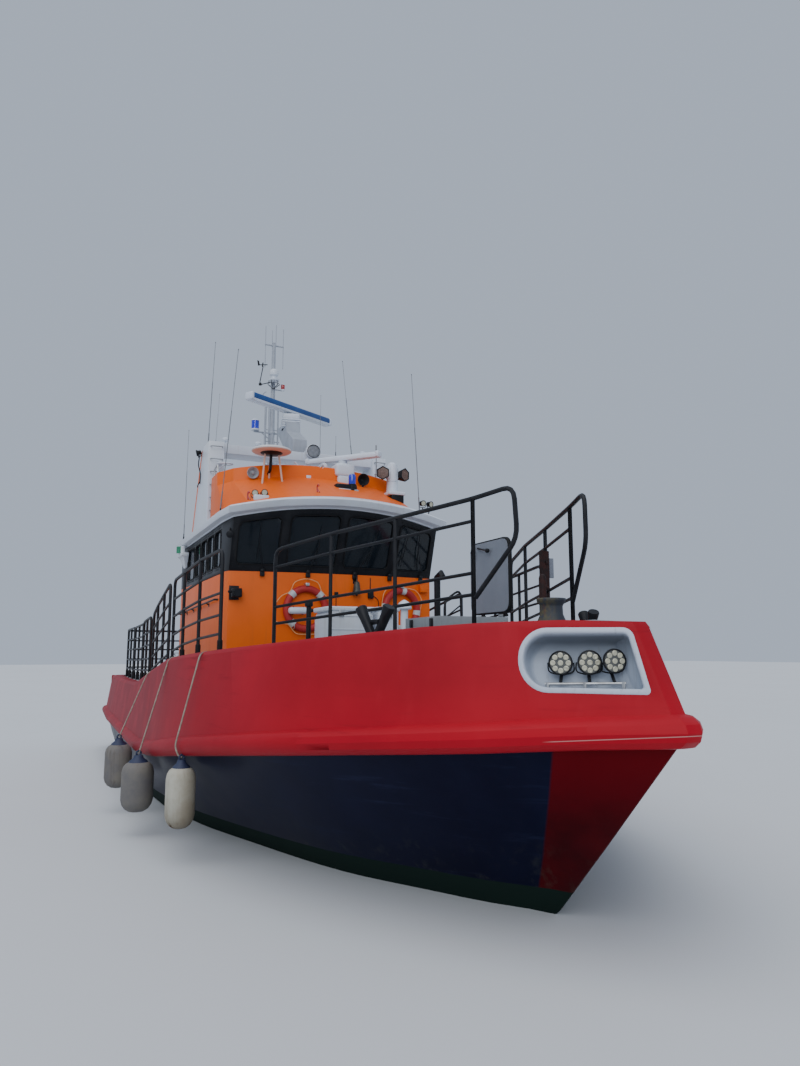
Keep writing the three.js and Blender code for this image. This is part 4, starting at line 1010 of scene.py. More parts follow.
def foot_plates(spots, side):
    """Round flanges on raised pads under the posts"""
    feet = []
    for x, y, z in spots:
        place = (x, -y if side > 0 else y, z - 0.03)
        feet.append(turned([(0, 0.062), (0.012, 0.062), (0.018, 0.034), (0.05, 0.026)], place, sides=16))
    return feet


def rail_section(posts, levels, corners=(True, True)):
    """Posts with level tubes between them, and a top tube that turns down at the ends"""
    top, level = sizes().post, sizes().level
    rows = [(x, y, deck_at(x), z) for x, y, z in posts]
    runs = []
    inner = rows[1 if corners[0] else 0:-1 if corners[1] else None]
    for x, y, deck, z in inner:
        runs.append(([(x, y, deck - 0.02), (x, y, z)], top * 0.94))
    for share in levels:
        path = [(x, y, mix(deck, z, share)) for x, y, deck, z in rows]
        runs.append((path, level))
    path = [(x, y, z) for x, y, _, z in rows]
    if corners[0]:
        path.insert(0, (rows[0][0], rows[0][1], rows[0][2] - 0.02))
    if corners[1]:
        path.append((rows[-1][0], rows[-1][1], rows[-1][2] - 0.02))
    runs.append((path, top, CORNER))
    return runs


class LIFEBOAT_OT_rails(bpy.types.Operator):
    """Makes the round tube rails of the bow, the sides and the stern"""

    bl_idname = "lifeboat.rails"
    bl_label = "Rails"

    def execute(self, context):
        top = sizes().post
        for side, sign in SIDES:
            runs = rail_section(BOW_POSTS, BOW_LEVELS, (False, True))
            runs.pop()
            front = list(BOW_TIP) + list(BOW_POSTS) + [(3.465, -1.71, deck_at(3.465) - 0.02)]
            runs.append((front, top, 0.13))
            runs.append(([(6.45, -0.57, deck_at(6.45) - 0.02), (6.45, -0.57, 3.73)], top * 0.94))
            runs = [(flipped(points, sign), *rest) for points, *rest in runs]
            feet = foot_plates([(x, y, deck_at(x) + 0.02) for x, y, _ in BOW_POSTS], sign)
            rail = piece(f"bow_rail_tubes_{side}", [tubes(runs)] + feet, "rail_black")
            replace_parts(rail, f"bow_rail_{side}")

            runs, spots = [], []
            for posts in SIDE_POSTS:
                runs += rail_section(posts, SIDE_LEVELS)
                spots += [(x, y, deck_at(x) + 0.03) for x, y, _ in posts]
            runs = [(flipped(points, sign), *rest) for points, *rest in runs]
            rail = piece(f"side_rail_tubes_{side}", [tubes(runs)] + foot_plates(spots, sign),
                "rail_black")
            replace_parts(rail, f"side_rail_{side}")
        posts = [(x, y, STERN_TOP) for x, y in STERN_POSTS]
        posts += [(x, -y, STERN_TOP) for x, y in reversed(STERN_POSTS)]
        runs = rail_section(posts, SIDE_LEVELS)
        feet = foot_plates([(x, y, deck_at(x) + 0.03) for x, y, _ in posts], -1)
        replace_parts(piece("stern_rail_tubes", [tubes(runs)] + feet, "rail_black"), "stern_rail")
        return {"FINISHED"}


# Foredeck
def horned_bitts(side):
    """A base plate with two flared horns, and the stay between them"""
    y = side * 1.3
    horns = [turned([(-0.03, 0.05), (0.1, 0.047), (0.24, 0.052), (0.33, 0.064), (0.345, 0.058)],
        (5.74 + lean * 0.03, y - side * lean * 0.01, 2.4), (lean * 0.55, -side * lean * 0.22, 1), 20)
        for lean in (-1, 1)]
    base = block(5.52, 5.96, y - 0.085, y + 0.085, 2.385, 2.412, 0.008)
    bolts = copies(bolt(0.011), [((5.74 + a, y + b, 2.412), (0, 0, 1)) for a in (-0.18, 0.18)
        for b in (-0.05, 0.05)])
    return [base, *horns, *bolts, tubes([([(5.63, y, 2.55), (5.85, y, 2.55)], 0.026)])]


class LIFEBOAT_OT_foredeck(bpy.types.Operator):
    """Makes the hatch with its open lid, the samson post, the bitts, the lockers and the vents"""

    bl_idname = "lifeboat.foredeck"
    bl_label = "Foredeck"

    def execute(self, context):
        dressed("foredeck_hatch_coaming", "deck_grey", 0.008)
        corners = [(5.0, 2.69), (5.45, 2.69), (5.45, 3.565), (4.55, 3.565), (4.55, 2.69), (5.0, 2.69)]
        edge = bent([(x, 0, z) for x, z in corners], 0.13)[:-1]
        centre = Vector((5.0, 0, 3.13))
        skins = []
        for y, share, deep in ((0.445, 0.955, 0.008), (0.493, 0.955, 0.008)):
            line = [centre + (p - centre) * share + Vector((0, y, 0)) for p in edge]
            skins.append(pane(line, Vector((0, deep, 0)), 0.002))
        lid = piece("hatch_lid_skins", skins, "lid_grey", body="foredeck_hatch_lid")
        core = pane([p + Vector((0, 0.449, 0)) for p in edge], Vector((0, 0.047, 0)), 0.01)
        knuckles = [tubes([([(x + 0.006, 0.46, 2.665), (x + 0.078, 0.46, 2.665)], 0.015)])
            for x in (4.8, 5.3)]
        straps = [block(x + 0.01, x + 0.075, 0.446, 0.466, 2.665, 2.8, 0.004) for x in (4.8, 5.3)]
        core = piece("hatch_lid_core", [core, *knuckles, *straps], "rubber_black",
            body="foredeck_hatch_lid")
        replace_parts(lid, "foredeck_hatch_lid")
        dogs = tubes([([(4.78, 0.425, 3.49), (5.04, 0.405, 3.435)], 0.01),
            ([(4.78, 0.425, 3.49), (4.78, 0.455, 3.49)], 0.012),
            ([(4.73, 0.41, 3.49), (4.64, 0.41, 3.45), (4.73, 0.41, 3.395)], 0.011),
            ([(4.64, 0.41, 3.45), (4.64, 0.455, 3.45)], 0.012)])
        knob = turned([(-0.026, 0.012), (-0.016, 0.024), (0.004, 0.028), (0.018, 0.022), (0.024, 0.01)],
            (5.05, 0.402, 3.432), (0, -1, 0), 20)
        piece("hatch_lid_dogs", [dogs, knob], "satin_black", body="foredeck_hatch_lid")
        feet = [block(x - 0.03, x + 0.03, -0.452, -0.43, 2.53, 2.62, 0.006) for x in (4.74, 5.26)]
        piece("hatch_catches", feet, "satin_black")

        dressed("samson_post", "moss_grey", 0.01, 3)
        post = turned([(2.4, 0.048), (2.415, 0.048), (2.42, 0.036), (2.955, 0.036), (2.985, 0.028),
            (2.995, 0.01)], (6.7, 0.045, 0), sides=20)
        piece("bow_upright", [post], "rust_brown")
        clamps = tubes([([(5.45, 0.93, z), (5.45, 0.97, z)], 0.03) for z in (2.98, 3.27)])
        piece("rail_board", [block(5.44, 5.465, 0.855, 0.985, 2.87, 3.41, 0.008), clamps],
            "rust_brown")
        piece("rail_tag", [block(5.415, 5.44, 1.0, 1.06, 3.1, 3.33, 0.006)], "lid_grey")
        for side, sign in SIDES:
            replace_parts(piece(f"bitts_horns_{side}", horned_bitts(sign), "satin_black"), f"bitts_{side}")

        dressed("foredeck_locker", "gloss_white", 0.03, 3)
        lid = block(3.588, 4.162, -1.252, -0.648, 2.735, 2.793, 0.018, 3)
        second = [block(3.62, 4.13, -0.6, -0.32, 2.27, 2.76, 0.03, 3),
            block(3.61, 4.14, -0.61, -0.31, 2.745, 2.8, 0.018, 3)]
        lines = tubes([([(4.152, -1.22, z), (4.152, -0.68, z)], 0.006) for z in (2.68, 2.52)])
        piece("locker_lids", [lid, *second, lines], "gloss_white")
        catches = [block(4.148, 4.168, y - 0.03, y + 0.03, 2.67, 2.75, 0.004) for y in (-1.08, -0.82, -0.46)]
        piece("locker_catches", catches, "bare_steel")

        dressed("vent_post", "satin_black", 0.01)
        ball = turned([(2.19, 0.055), (2.2, 0.055), (2.205, 0.033), (2.85, 0.033), (2.855, 0.05),
            (2.875, 0.056), (2.915, 0.052), (2.935, 0.03), (2.94, 0.01)], (2.9, -1.09, 0), sides=20)
        second = turned([(2.1, 0.09), (2.12, 0.09), (2.13, 0.075), (2.4, 0.072), (2.42, 0.05)],
            (2.142, 1.25, 0), sides=20)
        piece("deck_posts", [ball, second], "satin_black")
        hoop = tubes([([(2.62, 1.08, 2.14), (2.62, 1.08, 3.0), (2.62, 1.35, 3.186), (2.62, 1.37, 2.14)],
            0.017, 0.12), ([(2.62, 1.09, 2.75), (2.62, 1.36, 2.95)], 0.011)])
        piece("hose_hoop", [hoop], "rail_black")
        cap = turned([(2.1, 0.085), (2.12, 0.085), (2.125, 0.055), (2.88, 0.055), (2.885, 0.1),
            (2.9, 0.112), (2.95, 0.105), (2.99, 0.075), (3.02, 0.03), (3.03, 0.01)], (2.2, 0.62, 0),
            sides=28)
        piece("mushroom_vent", [cap], "gloss_white")
        rows = [x for posts in SIDE_POSTS for x in posts]
        pads, sleeves = [], []
        for x, y, _ in rows:
            for side in (-1, 1):
                deck = deck_at(x)
                pads.append(turned([(0, 0.072), (0.01, 0.07), (0.014, 0.05)], (x, -side * y, deck - 0.005),
                    sides=14))
                sleeves.append(turned([(0.012, 0.034), (0.16, 0.034), (0.17, 0.026)], (x, -side * y, deck),
                    sides=12))
        piece("post_pads", pads, "gloss_white")
        piece("post_sleeves", sleeves, "rubber_black")
        return {"FINISHED"}


# Wheelhouse
HOUSE_HALF = 1.79
HOUSE_AFT = -3.5
SILL = 3.5
ROOF_CAMBER = 0.2
# columns: distance from the centreline, x at the sill, lean of the window band forward for each metre up
FRONT = ((0.0, 0.95, 0.42), (0.93, 0.915, 0.4), (1.73, 0.8, 0.34), (1.79, 0.5, 0.12))
PANE_LOW, PANE_HEAD = 3.61, 4.19
SLOPE_LOW, SLOPE_HIGH = 4.485, 5.08
# columns: distance from the centreline, x at the foot and at the top of the slope before the flying bridge
SLOPE = ((0.0, 1.18, -0.08), (1.0, 1.08, -0.13), (1.48, 0.96, -0.23), (1.7, 0.25, -0.5))
# columns: the pane's two sides, across on the front and behind, along on the sides
FRONT_PANES = ((-1.64, -1.01), (-0.86, -0.07), (0.07, 0.86), (1.01, 1.64))
SIDE_PANES = ((-0.04, 0.42), (-0.64, -0.18), (-1.24, -0.78), (-1.84, -1.38), (-2.7, -1.98))
AFT_PANES = ((-1.5, -0.62), (0.62, 1.5))
# columns: y of the pivot, y of the blade, lean of the blade to port for each metre up
WIPERS = ((-1.229, -1.33, 0.02), (-0.503, -0.4, 0.05), (0.284, 0.47, 0.22), (0.919, 1.1, 0.12),
    (1.526, 1.42, -0.04))


def camber(y):
    return ROOF_CAMBER * (1 - (y / HOUSE_HALF) ** 2)


def across(rows, y):
    """A table's further columns, read off at the distance of y from the centreline"""
    for low, high in zip(rows, rows[1:]):
        if abs(y) <= high[0]:
            share = (abs(y) - low[0]) / (high[0] - low[0])
            return [mix(a, b, share) for a, b in zip(low[1:], high[1:])]
    return rows[-1][1:]


def nose(y):
    """Distance of the front from amidships at the sill, on a smooth arc"""
    return FRONT[0][1] - 0.0415 * abs(y) ** 2.35


def front_at(y, z, out=0.0):
    """A point on the front of the wheelhouse, or before it by the given distance"""
    sill, lean = across(FRONT, y)
    if abs(y) <= FRONT[2][0]:
        sill = nose(y)
    return Vector((sill + lean * max(0, z - SILL) + out, y, z))


def bowed(obj, spread=1.0):
    """Rounds the flat strips across a copied piece of the house into a smooth arc"""
    only(obj)
    bpy.ops.object.mode_set(mode="EDIT")
    for k in range(-12, 13):
        bpy.ops.mesh.select_all(action="SELECT")
        bpy.ops.mesh.bisect(plane_co=(0, 0.15 * k + 0.001, 0), plane_no=(0, 1, 0))
    bpy.ops.object.mode_set(mode="OBJECT")
    rows = [(y, camber(y)) for y, *_ in FRONT]
    for vertex in obj.data.vertices:
        x, y, z = vertex.co
        high = min(1, max(0, (z - LIFT - SILL) / 0.7))
        if abs(y) < HOUSE_HALF:
            vertex.co.z += high * (camber(y) - across(rows, y)[0])
        near = abs(y) / spread
        if x > 0.6 and near < FRONT[2][0]:
            vertex.co.x += nose(near) - across(FRONT, near)[0]


def bowed_roof(obj):
    bowed(obj, 1.065)


def bowed_screen(obj):
    """Rounds the slope before the flying bridge and the top of its coaming"""
    only(obj)
    bpy.ops.object.mode_set(mode="EDIT")
    for k in range(-11, 12):
        bpy.ops.mesh.select_all(action="SELECT")
        bpy.ops.mesh.bisect(plane_co=(0, 0.15 * k + 0.001, 0), plane_no=(0, 1, 0))
    bpy.ops.object.mode_set(mode="OBJECT")
    rows = [(y, camber(y)) for y, *_ in SLOPE]
    for vertex in obj.data.vertices:
        x, y, z = vertex.co
        if abs(y) > 1.48:
            continue
        vertex.co.z += camber(y) - across(rows, y)[0]
        foot, top = across(SLOPE, y)
        share = min(1, max(0, (z - LIFT - SLOPE_LOW - camber(y)) / (SLOPE_HIGH - SLOPE_LOW)))
        smooth_foot, smooth_top = 1.18 - 0.1 * y * y, -0.08 - 0.05 * abs(y) ** 2.8
        if x > mix(foot, top, share) - 0.14:
            vertex.co.x += mix(smooth_foot - foot, smooth_top - top, share)


def spread_between(a, b, parts):
    return [mix(a, b, k / parts) for k in range(parts + 1)]


def pane_lines(grow, out, parts=5):
    """The closed line round each window with the way that it faces"""
    rows = [(y0, y1, lambda y: PANE_HEAD + camber(y), lambda y, z: front_at(y, z, out), (1, 0, -0.38), parts)
            for y0, y1 in FRONT_PANES]
    for x0, x1 in SIDE_PANES:
        for _, side in SIDES:
            wall = side * (HOUSE_HALF + out)
            rows.append((x0, x1, lambda x: PANE_HEAD, lambda x, z, y=wall: Vector((x, y, z)), (0, side, 0),
                1))
    for y0, y1 in AFT_PANES:
        rows.append((y0, y1, lambda y: PANE_HEAD, lambda y, z: Vector((HOUSE_AFT - out, y, z)), (-1, 0, 0),
            1))
    lines, c = [], 0.05
    for a0, a1, head, place, way, steps in rows:
        a0, a1, low = a0 - grow, a1 + grow, PANE_LOW - grow
        flat = [(a, low) for a in spread_between(a0 + c, a1 - c, steps)]
        flat += [(a1, low + c), (a1, head(a1) + grow - c)]
        flat += [(a, head(a) + grow) for a in spread_between(a1 - c, a0 + c, steps)]
        flat += [(a0, head(a0) + grow - c), (a0, low + c), (a0 + c, low)]
        lines.append(([place(a, z) for a, z in flat], way))
    return lines


class LIFEBOAT_OT_wheelhouse(bpy.types.Operator):
    """Dresses the wheelhouse, glazes it, and bolts its window frames"""

    bl_idname = "lifeboat.wheelhouse"
    bl_label = "Wheelhouse"

    def execute(self, context):
        dressed("wheelhouse_walls", "house_orange", 0.02, 3, slot="orange", shape=bowed)
        dressed("window_band", "satin_black", 0.006, slot="black", shape=bowed)
        dressed("wheelhouse_roof", "gloss_white", 0.018, 3, slot="white", shape=bowed_roof)
        panes = [pane(line[:-1], Vector(way) * -0.012) for line, way in pane_lines(-0.004, -0.022, 1)]
        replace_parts(piece("window_panes", panes, "pane_glass", slot="glass"), "window_glass")
        gaskets = tubes([(line, 0.011, 0.03) for line, _ in pane_lines(0.004, 0.002)], 1)
        piece("window_gaskets", [gaskets], "rubber_black")
        spots = [(at, way) for line, way in pane_lines(0.045, 0.001) for at in paced(line, 0.105)]
        piece("window_bolts", copies(bolt(0.008), spots), "satin_black")
        for side, sign in SIDES:
            dressed(f"sidelight_{side}", "gloss_white", 0.01, 3, slot="white")
            lens = turned([(-0.07, 0.046), (-0.06, 0.054), (0.06, 0.054), (0.07, 0.046)],
                (-2.86, sign * 1.945, 4.235), (0, 0, 1), 20)
            piece(f"sidelight_lens_{side}", [lens], "port_red" if sign > 0 else "starboard_green")
        return {"FINISHED"}


class LIFEBOAT_OT_cabin(bpy.types.Operator):
    """Fits out the inside: the console with its screens and wheel, and the seats"""

    bl_idname = "lifeboat.cabin"
    bl_label = "Cabin"

    def execute(self, context):
        dressed("helm_console", "satin_black", 0.012)
        dressed("crew_seats", "seat_cloth", 0.03, 4, 50)
        screens = []
        for y in (-1.05, -0.62, -0.15, 0.32, 0.75, 1.12):
            screen = block(-0.012, 0.012, y - 0.16, y + 0.16, 0, 0.24, 0.008)
            screen.data.transform(Matrix.Translation((0.3, 0, 2.93)) @ Matrix.Rotation(radians(22), 4,
                "Y"))
            screens.append(screen)
        piece("console_screens", screens, "pane_glass")
        wheel = [ring((0.2, -0.62, 2.8), (-1, 0, 0.35), 0.16, 0.013),
            tubes([([(0.2 + 0.05 * sin(a), -0.62 + 0.15 * cos(a), 2.8 + 0.15 * sin(a)),
            (0.21, -0.62, 2.8)], 0.008) for a in (0.5, 2.6,
            4.7)] + [([(0.2, -0.62, 2.8), (0.32, -0.62, 2.76)], 0.02)])]
        levers = tubes([([(0.42, y, 3.13), (0.36, y, 3.27)], 0.009) for y in (-0.3, -0.25, 0.12, 0.17)])
        piece("helm_wheel", wheel + [levers], "satin_black")
        return {"FINISHED"}


class LIFEBOAT_OT_front_gear(bpy.types.Operator):
    """Makes the wipers, the bell, the lamps and the boxes on the wheelhouse front"""

    bl_idname = "lifeboat.front_gear"
    bl_label = "Front gear"

    def execute(self, context):
        runs, parts = [], []
        for y, blade_y, lean in WIPERS:
            root = front_at(y, 3.515, 0.035)
            parts.append(turned([(0, 0.03), (0.04, 0.034), (0.05, 0.026), (0.058, 0.014)],
                root - Vector((0.035, 0, 0)), (1, 0, 0), 16))
            parts.append(block(root.x - 0.04, root.x + 0.005, y - 0.035, y + 0.035, 3.425, 3.5, 0.01))
            ends = [Vector((0.008, 0, 0)) + front_at(blade_y + lean * (z - 3.63), z) for z in (3.66, 4.22)]
            middle = ends[0].lerp(ends[1], 0.5) + Vector((0.018, 0, 0))
            knee = front_at(mix(y, middle.y, 0.55), mix(3.53, middle.z, 0.55), 0.045)
            runs += [([root, knee, middle], 0.0055, 0.05), ([root + Vector((0, 0.032, 0)), middle], 0.004)]
            runs += [([ends[0], ends[1]], 0.006), ([ends[0].lerp(ends[1], 0.2), middle,
                ends[0].lerp(ends[1], 0.8)], 0.0045, 0.03)]
        piece("wipers", parts + [tubes(runs)], "satin_black")

        bell = turned([(0, 0.07), (0.0, 0.08), (0.008, 0.081), (0.03, 0.068), (0.09, 0.056),
            (0.16, 0.05), (0.195, 0.038), (0.21, 0.012), (0.235, 0.012), (0.24, 0.004)],
            (1.02, 0.308, 3.185), sides=28)
        piece("bell", [bell], "old_bronze")
        clapper = turned([(-0.035, 0.012), (-0.02, 0.02), (0, 0.012), (0.02, 0.004), (0.16, 0.004)],
            (1.02, 0.308, 3.19))
        bracket = tubes([([(0.94, 0.308, 3.47), (1.02, 0.308, 3.455), (1.02, 0.308, 3.415)], 0.012, 0.03),
            ([(0.94, 0.308, 3.38), (1.0, 0.308, 3.45)], 0.008)])
        plate = block(0.938, 0.95, 0.265, 0.351, 3.35, 3.5, 0.005)
        piece("bell_bracket", [clapper, bracket, plate], "satin_black")

        lamp_box = block(0.855, 0.965, -1.7, -1.545, 3.085, 3.225, 0.018, 3)
        arm = [block(0.8, 0.86, -1.66, -1.59, 3.12, 3.19, 0.008),
            block(0.815, 0.83, -1.72, -1.53, 3.05, 3.27, 0.004)]
        hood = turned([(0, 0.055), (0.012, 0.058), (0.03, 0.06), (0.03, 0.05)], (0.962, -1.622, 3.155),
            (1, 0, 0))
        knob = turned([(0, 0.02), (0.05, 0.02), (0.055, 0.014)], (0.91, -1.7, 3.17), (0, -1, 0), 12)
        small = [block(0.947, 0.985, -0.052, 0.008, 3.16, 3.21, 0.006),
            block(0.925, 0.985, 0.53, 0.622, 3.12, 3.245, 0.01)]
        lines = tubes([([(0.957, -0.022, 3.16), (0.955, -0.022, 2.6)], 0.006),
            ([(0.94, 0.576, 3.24), (0.94, 0.576, 3.46)], 0.008),
            ([(0.935, 0.62, 3.18), (0.95, 0.72, 3.1), (0.93, 0.74, 2.7)], 0.006, 0.05)])
        piece("front_boxes", [lamp_box, *arm, hood, knob, *small, lines], "satin_black")
        tall = block(0.81, 0.9, 1.5, 1.65, 3.25, 3.39, 0.012)
        lid = block(0.895, 0.91, 1.51, 1.64, 3.26, 3.38, 0.005)
        piece("shore_box", [tall, lid], "house_orange")
        eye = turned([(-0.06, 0.035), (-0.05, 0.048), (0.03, 0.052), (0.045, 0.055), (0.05, 0.046)],
            (0.96, -1.76, 4.05), (1, -0.3, -0.2))
        eye_arm = tubes([([(0.9, -1.73, 4.19), (0.93, -1.76, 4.12), (0.93, -1.76, 4.06)], 0.011, 0.03)])
        piece("corner_lamp", [eye, eye_arm], "satin_black")

        runs, pads = [], []
        for _, side in SIDES:
            wall = side * (HOUSE_HALF + 0.055)
            runs.append(([(0.35, side * HOUSE_HALF, 3.08), (0.33, wall, 3.08), (-3.25, wall, 3.0),
                (-3.27, side * HOUSE_HALF, 3.0)], 0.016, 0.04))
            for k in range(1, 5):
                x, z = 0.33 - 0.72 * k, 3.08 - 0.016 * k
                runs.append(([(x, side * HOUSE_HALF, z - 0.03), (x, wall, z)], 0.011))
                pads.append(((x, side * (HOUSE_HALF - 0.001), z - 0.03), (0, side, 0)))
        flange = turned([(0, 0.036), (0.006, 0.036), (0.01, 0.02)], sides=14)
        piece("house_grab_rails", [tubes(runs)] + copies(flange, pads), "rail_black")
        return {"FINISHED"}


# Lifebuoys. columns: side, y, z, x of the wall behind, turn of that wall, turn of the bands, in degrees
LIFEBUOYS = (("starboard", -0.53, 2.93, 0.93, -2.2, 45), ("port", 1.13, 2.95, 0.886, 8.2, -8))
BUOY_RING, BUOY_THICK = 0.315, 0.058
# the slack of the grab line between two bands, as places across and up from the middle of the ring
SLACK = {
    "starboard": (((0.2, 0.42), (0.0, 0.487), (-0.2, 0.42)), ((-0.4, 0.2), (-0.55, 0.0), (-0.5, -0.22)),
                  ((-0.16, -0.4), (0.16, -0.4)), ((0.4, -0.12), (0.415, 0.1))),
    "port": (((0.42, 0.18), (0.3, 0.34)), ((-0.16, 0.41), (-0.34, 0.3)), ((-0.42, -0.14), (-0.3, -0.33)),
             ((0.1, -0.42), (0.28, -0.34))),
}


class LIFEBOAT_OT_lifebuoys(bpy.types.Operator):
    """Makes the two lifebuoys with their bands, grab lines, hooks and the light"""

    bl_idname = "lifeboat.lifebuoys"
    bl_label = "Lifebuoys"

    def execute(self, context):
        for side, y, z, wall, turn, start in LIFEBUOYS:
            way = (cos(radians(turn)), sin(radians(turn)), 0)
            at = (wall + 0.05, y, z)
            bpy.ops.mesh.primitive_torus_add(
                major_radius=BUOY_RING, minor_radius=BUOY_THICK, major_segments=64, minor_segments=18
            )
            body = aimed(bpy.context.active_object, at, way)
            body = piece(f"lifebuoy_ring_{side}", [body], "buoy_red", degrees=60, slot="buoy")
            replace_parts(body, f"lifebuoy_{side}")

            def spot(degrees, radius, out=0.0):
                angle = radians(degrees)
                return Vector((radius * cos(angle), radius * sin(angle), out))

            band_runs, line_runs = [], []
            for k in range(4):
                turn_to = start + 90 * k
                band_runs.append(([spot(turn_to + a, BUOY_RING) for a in (-7.5, -3.7, 0, 3.7, 7.5)],
                    BUOY_THICK + 0.003))
                slack = [Vector((a, b, 0.012)) for a, b in SLACK[side][k]]
                ends = [spot(turn_to + a, BUOY_RING + BUOY_THICK + 0.006) for a in (-5, 5)]
                far = spot(turn_to + 85, BUOY_RING + BUOY_THICK + 0.006)
                line_runs.append(([*ends, *slack, far], sizes().grab, 0.13))
            bands = aimed(tubes(band_runs, 5), at, way)
            piece(f"lifebuoy_bands_{side}", [bands], "buoy_tape", degrees=60, slot="white")
            piece(f"lifebuoy_line_{side}", [aimed(tubes(line_runs), at, way)], "grab_line")
            hooks = tubes([([(wall, y + a, z + b), (wall + 0.05, y + a * 1.02, z + b - 0.02),
                (wall + 0.115, y + a * 1.02, z + b - 0.01), (wall + 0.12, y + a * 1.02, z + b + 0.05)],
                0.008, 0.03) for a, b in ((-0.2, -0.3), (0.2, -0.3))])
            clip = block(wall - 0.004, wall + 0.12, y - 0.03, y + 0.03, z + 0.355, z + 0.405, 0.006)
            piece(f"lifebuoy_hooks_{side}", [hooks, clip], "bare_steel")
        light = turned([(-0.17, 0.02), (-0.16, 0.042), (-0.13, 0.054), (0.1, 0.054), (0.13, 0.045),
            (0.15, 0.022), (0.18, 0.02)], (1.065, -0.67, 2.895), (0, 1, 0.02), 24)
        piece("buoy_light", [light], "gloss_white")
        clips = tubes([([(0.95, y, 2.86), (1.0, y, 2.835), (1.065, y, 2.836), (1.122, y, 2.89),
            (1.07, y, 2.955)], 0.006, 0.04) for y in (-0.76, -0.6)])
        cap = turned([(0, 0.026), (0.03, 0.034), (0.05, 0.02)], (1.065, -0.49, 2.9), (0, 1, 0.02), 16)
        piece("buoy_light_clips", [clips, cap], "satin_black")
        return {"FINISHED"}


class LIFEBOAT_OT_house_aft(bpy.types.Operator):
    """Makes the aft door with its window, handle and dogs, and what hangs on the aft wall"""

    bl_idname = "lifeboat.house_aft"
    bl_label = "Door and aft wall"

    def execute(self, context):
        dressed("wheelhouse_door", "house_orange", 0.006)
        face = HOUSE_AFT - 0.001
        glass = pane([Vector((face - 0.004, a, b)) for a,
            b in ((-0.14, 3.05), (0.14, 3.05), (0.19, 3.1), (0.19, 3.55), (0.14, 3.6), (-0.14, 3.6),
            (-0.19, 3.55), (-0.19, 3.1))], Vector((0.006, 0, 0)), 0.002)
        piece("door_window", [glass], "pane_glass", body="wheelhouse_door", slot="glass")
        frame_line = [(face - 0.006, a, b) for a, b in ((-0.15, 3.04), (0.15, 3.04), (0.2, 3.09),
            (0.2, 3.56), (0.15, 3.61), (-0.15, 3.61), (-0.2, 3.56), (-0.2, 3.09), (-0.15, 3.04))]
        kick = block(face - 0.006, face + 0.002, -0.28, 0.28, 2.02, 2.36, 0.003)
        handle = tubes([([(face, 0.27, 2.82), (face - 0.05, 0.27, 2.84), (face - 0.05, 0.27, 3.08),
            (face, 0.27, 3.1)], 0.01, 0.03)])
        dogs = tubes([([(face, 0.305, z), (face - 0.025, 0.305, z), (face - 0.03, 0.24, z + 0.06)], 0.009,
            0.01) for z in (2.25, 2.75, 3.25, 3.65)])
        rim = tubes([(frame_line, 0.01, 0.03)])
        heads = copies(bolt(0.007), [((face - 0.006, a, b), (-1, 0, 0)) for a in (-0.26, 0, 0.26)
            for b in (2.05, 2.33)])
        piece("door_fittings", [kick, handle, dogs, rim, *heads], "bare_steel",
            body="wheelhouse_door")
        steps = [([(HOUSE_AFT, 1.05, z), (HOUSE_AFT - 0.1, 1.05, z), (HOUSE_AFT - 0.1, 1.38, z),
            (HOUSE_AFT, 1.38, z)], 0.012, 0.03) for z in (2.05, 2.35, 2.65, 2.95, 3.25)]
        sides = [([(HOUSE_AFT, a, 3.46), (HOUSE_AFT - 0.13, a, 3.5), (HOUSE_AFT - 0.13, a, 4.62),
            (HOUSE_AFT + 0.1, a, 4.8), (HOUSE_AFT + 0.35, a, 4.62)], 0.016, 0.12) for a in (1.03, 1.4)]
        rungs = [([(HOUSE_AFT - 0.13, 1.03, z), (HOUSE_AFT - 0.13, 1.4, z)], 0.012)
            for z in (3.62, 3.92, 4.22, 4.52)]
        piece("aft_ladder", [tubes(steps + sides + rungs)], "rail_black")
        rain = [([(HOUSE_AFT - 0.004, -0.42, 3.9), (HOUSE_AFT - 0.03, 0, 3.93),
            (HOUSE_AFT - 0.004, 0.42, 3.9)], 0.012)]
        lamp = turned([(0, 0.07), (0.02, 0.075), (0.05, 0.06), (0.08, 0.02)], (HOUSE_AFT, 0, 4.1),
            (-1, 0, 0))
        piece("door_lamp", [tubes(rain), lamp], "buoy_tape")
        louvres = [block(HOUSE_AFT - 0.02, HOUSE_AFT + 0.002, -1.35, -0.8, z, z + 0.03, 0.004)
                   for z in [2.45 + 0.055 * k for k in range(9)]]
        case = [([(HOUSE_AFT - 0.003, a, b) for a, b in ((-1.38, 2.41), (-0.77, 2.41), (-0.77, 2.97),
            (-1.38, 2.97), (-1.38, 2.41))], 0.016, 0.02)]
        piece("aft_louvre", louvres + [tubes(case)], "house_orange")
        return {"FINISHED"}


# Flying bridge
def slope_at(x, y, out=0.0):
    """A point on the slope before the flying bridge, or over it by the given distance"""
    foot, top = across(SLOPE, y)
    share = (foot - x) / (foot - top)
    return Vector((x + 0.43 * out, y, mix(SLOPE_LOW, SLOPE_HIGH, share) + camber(y) + 0.9 * out))


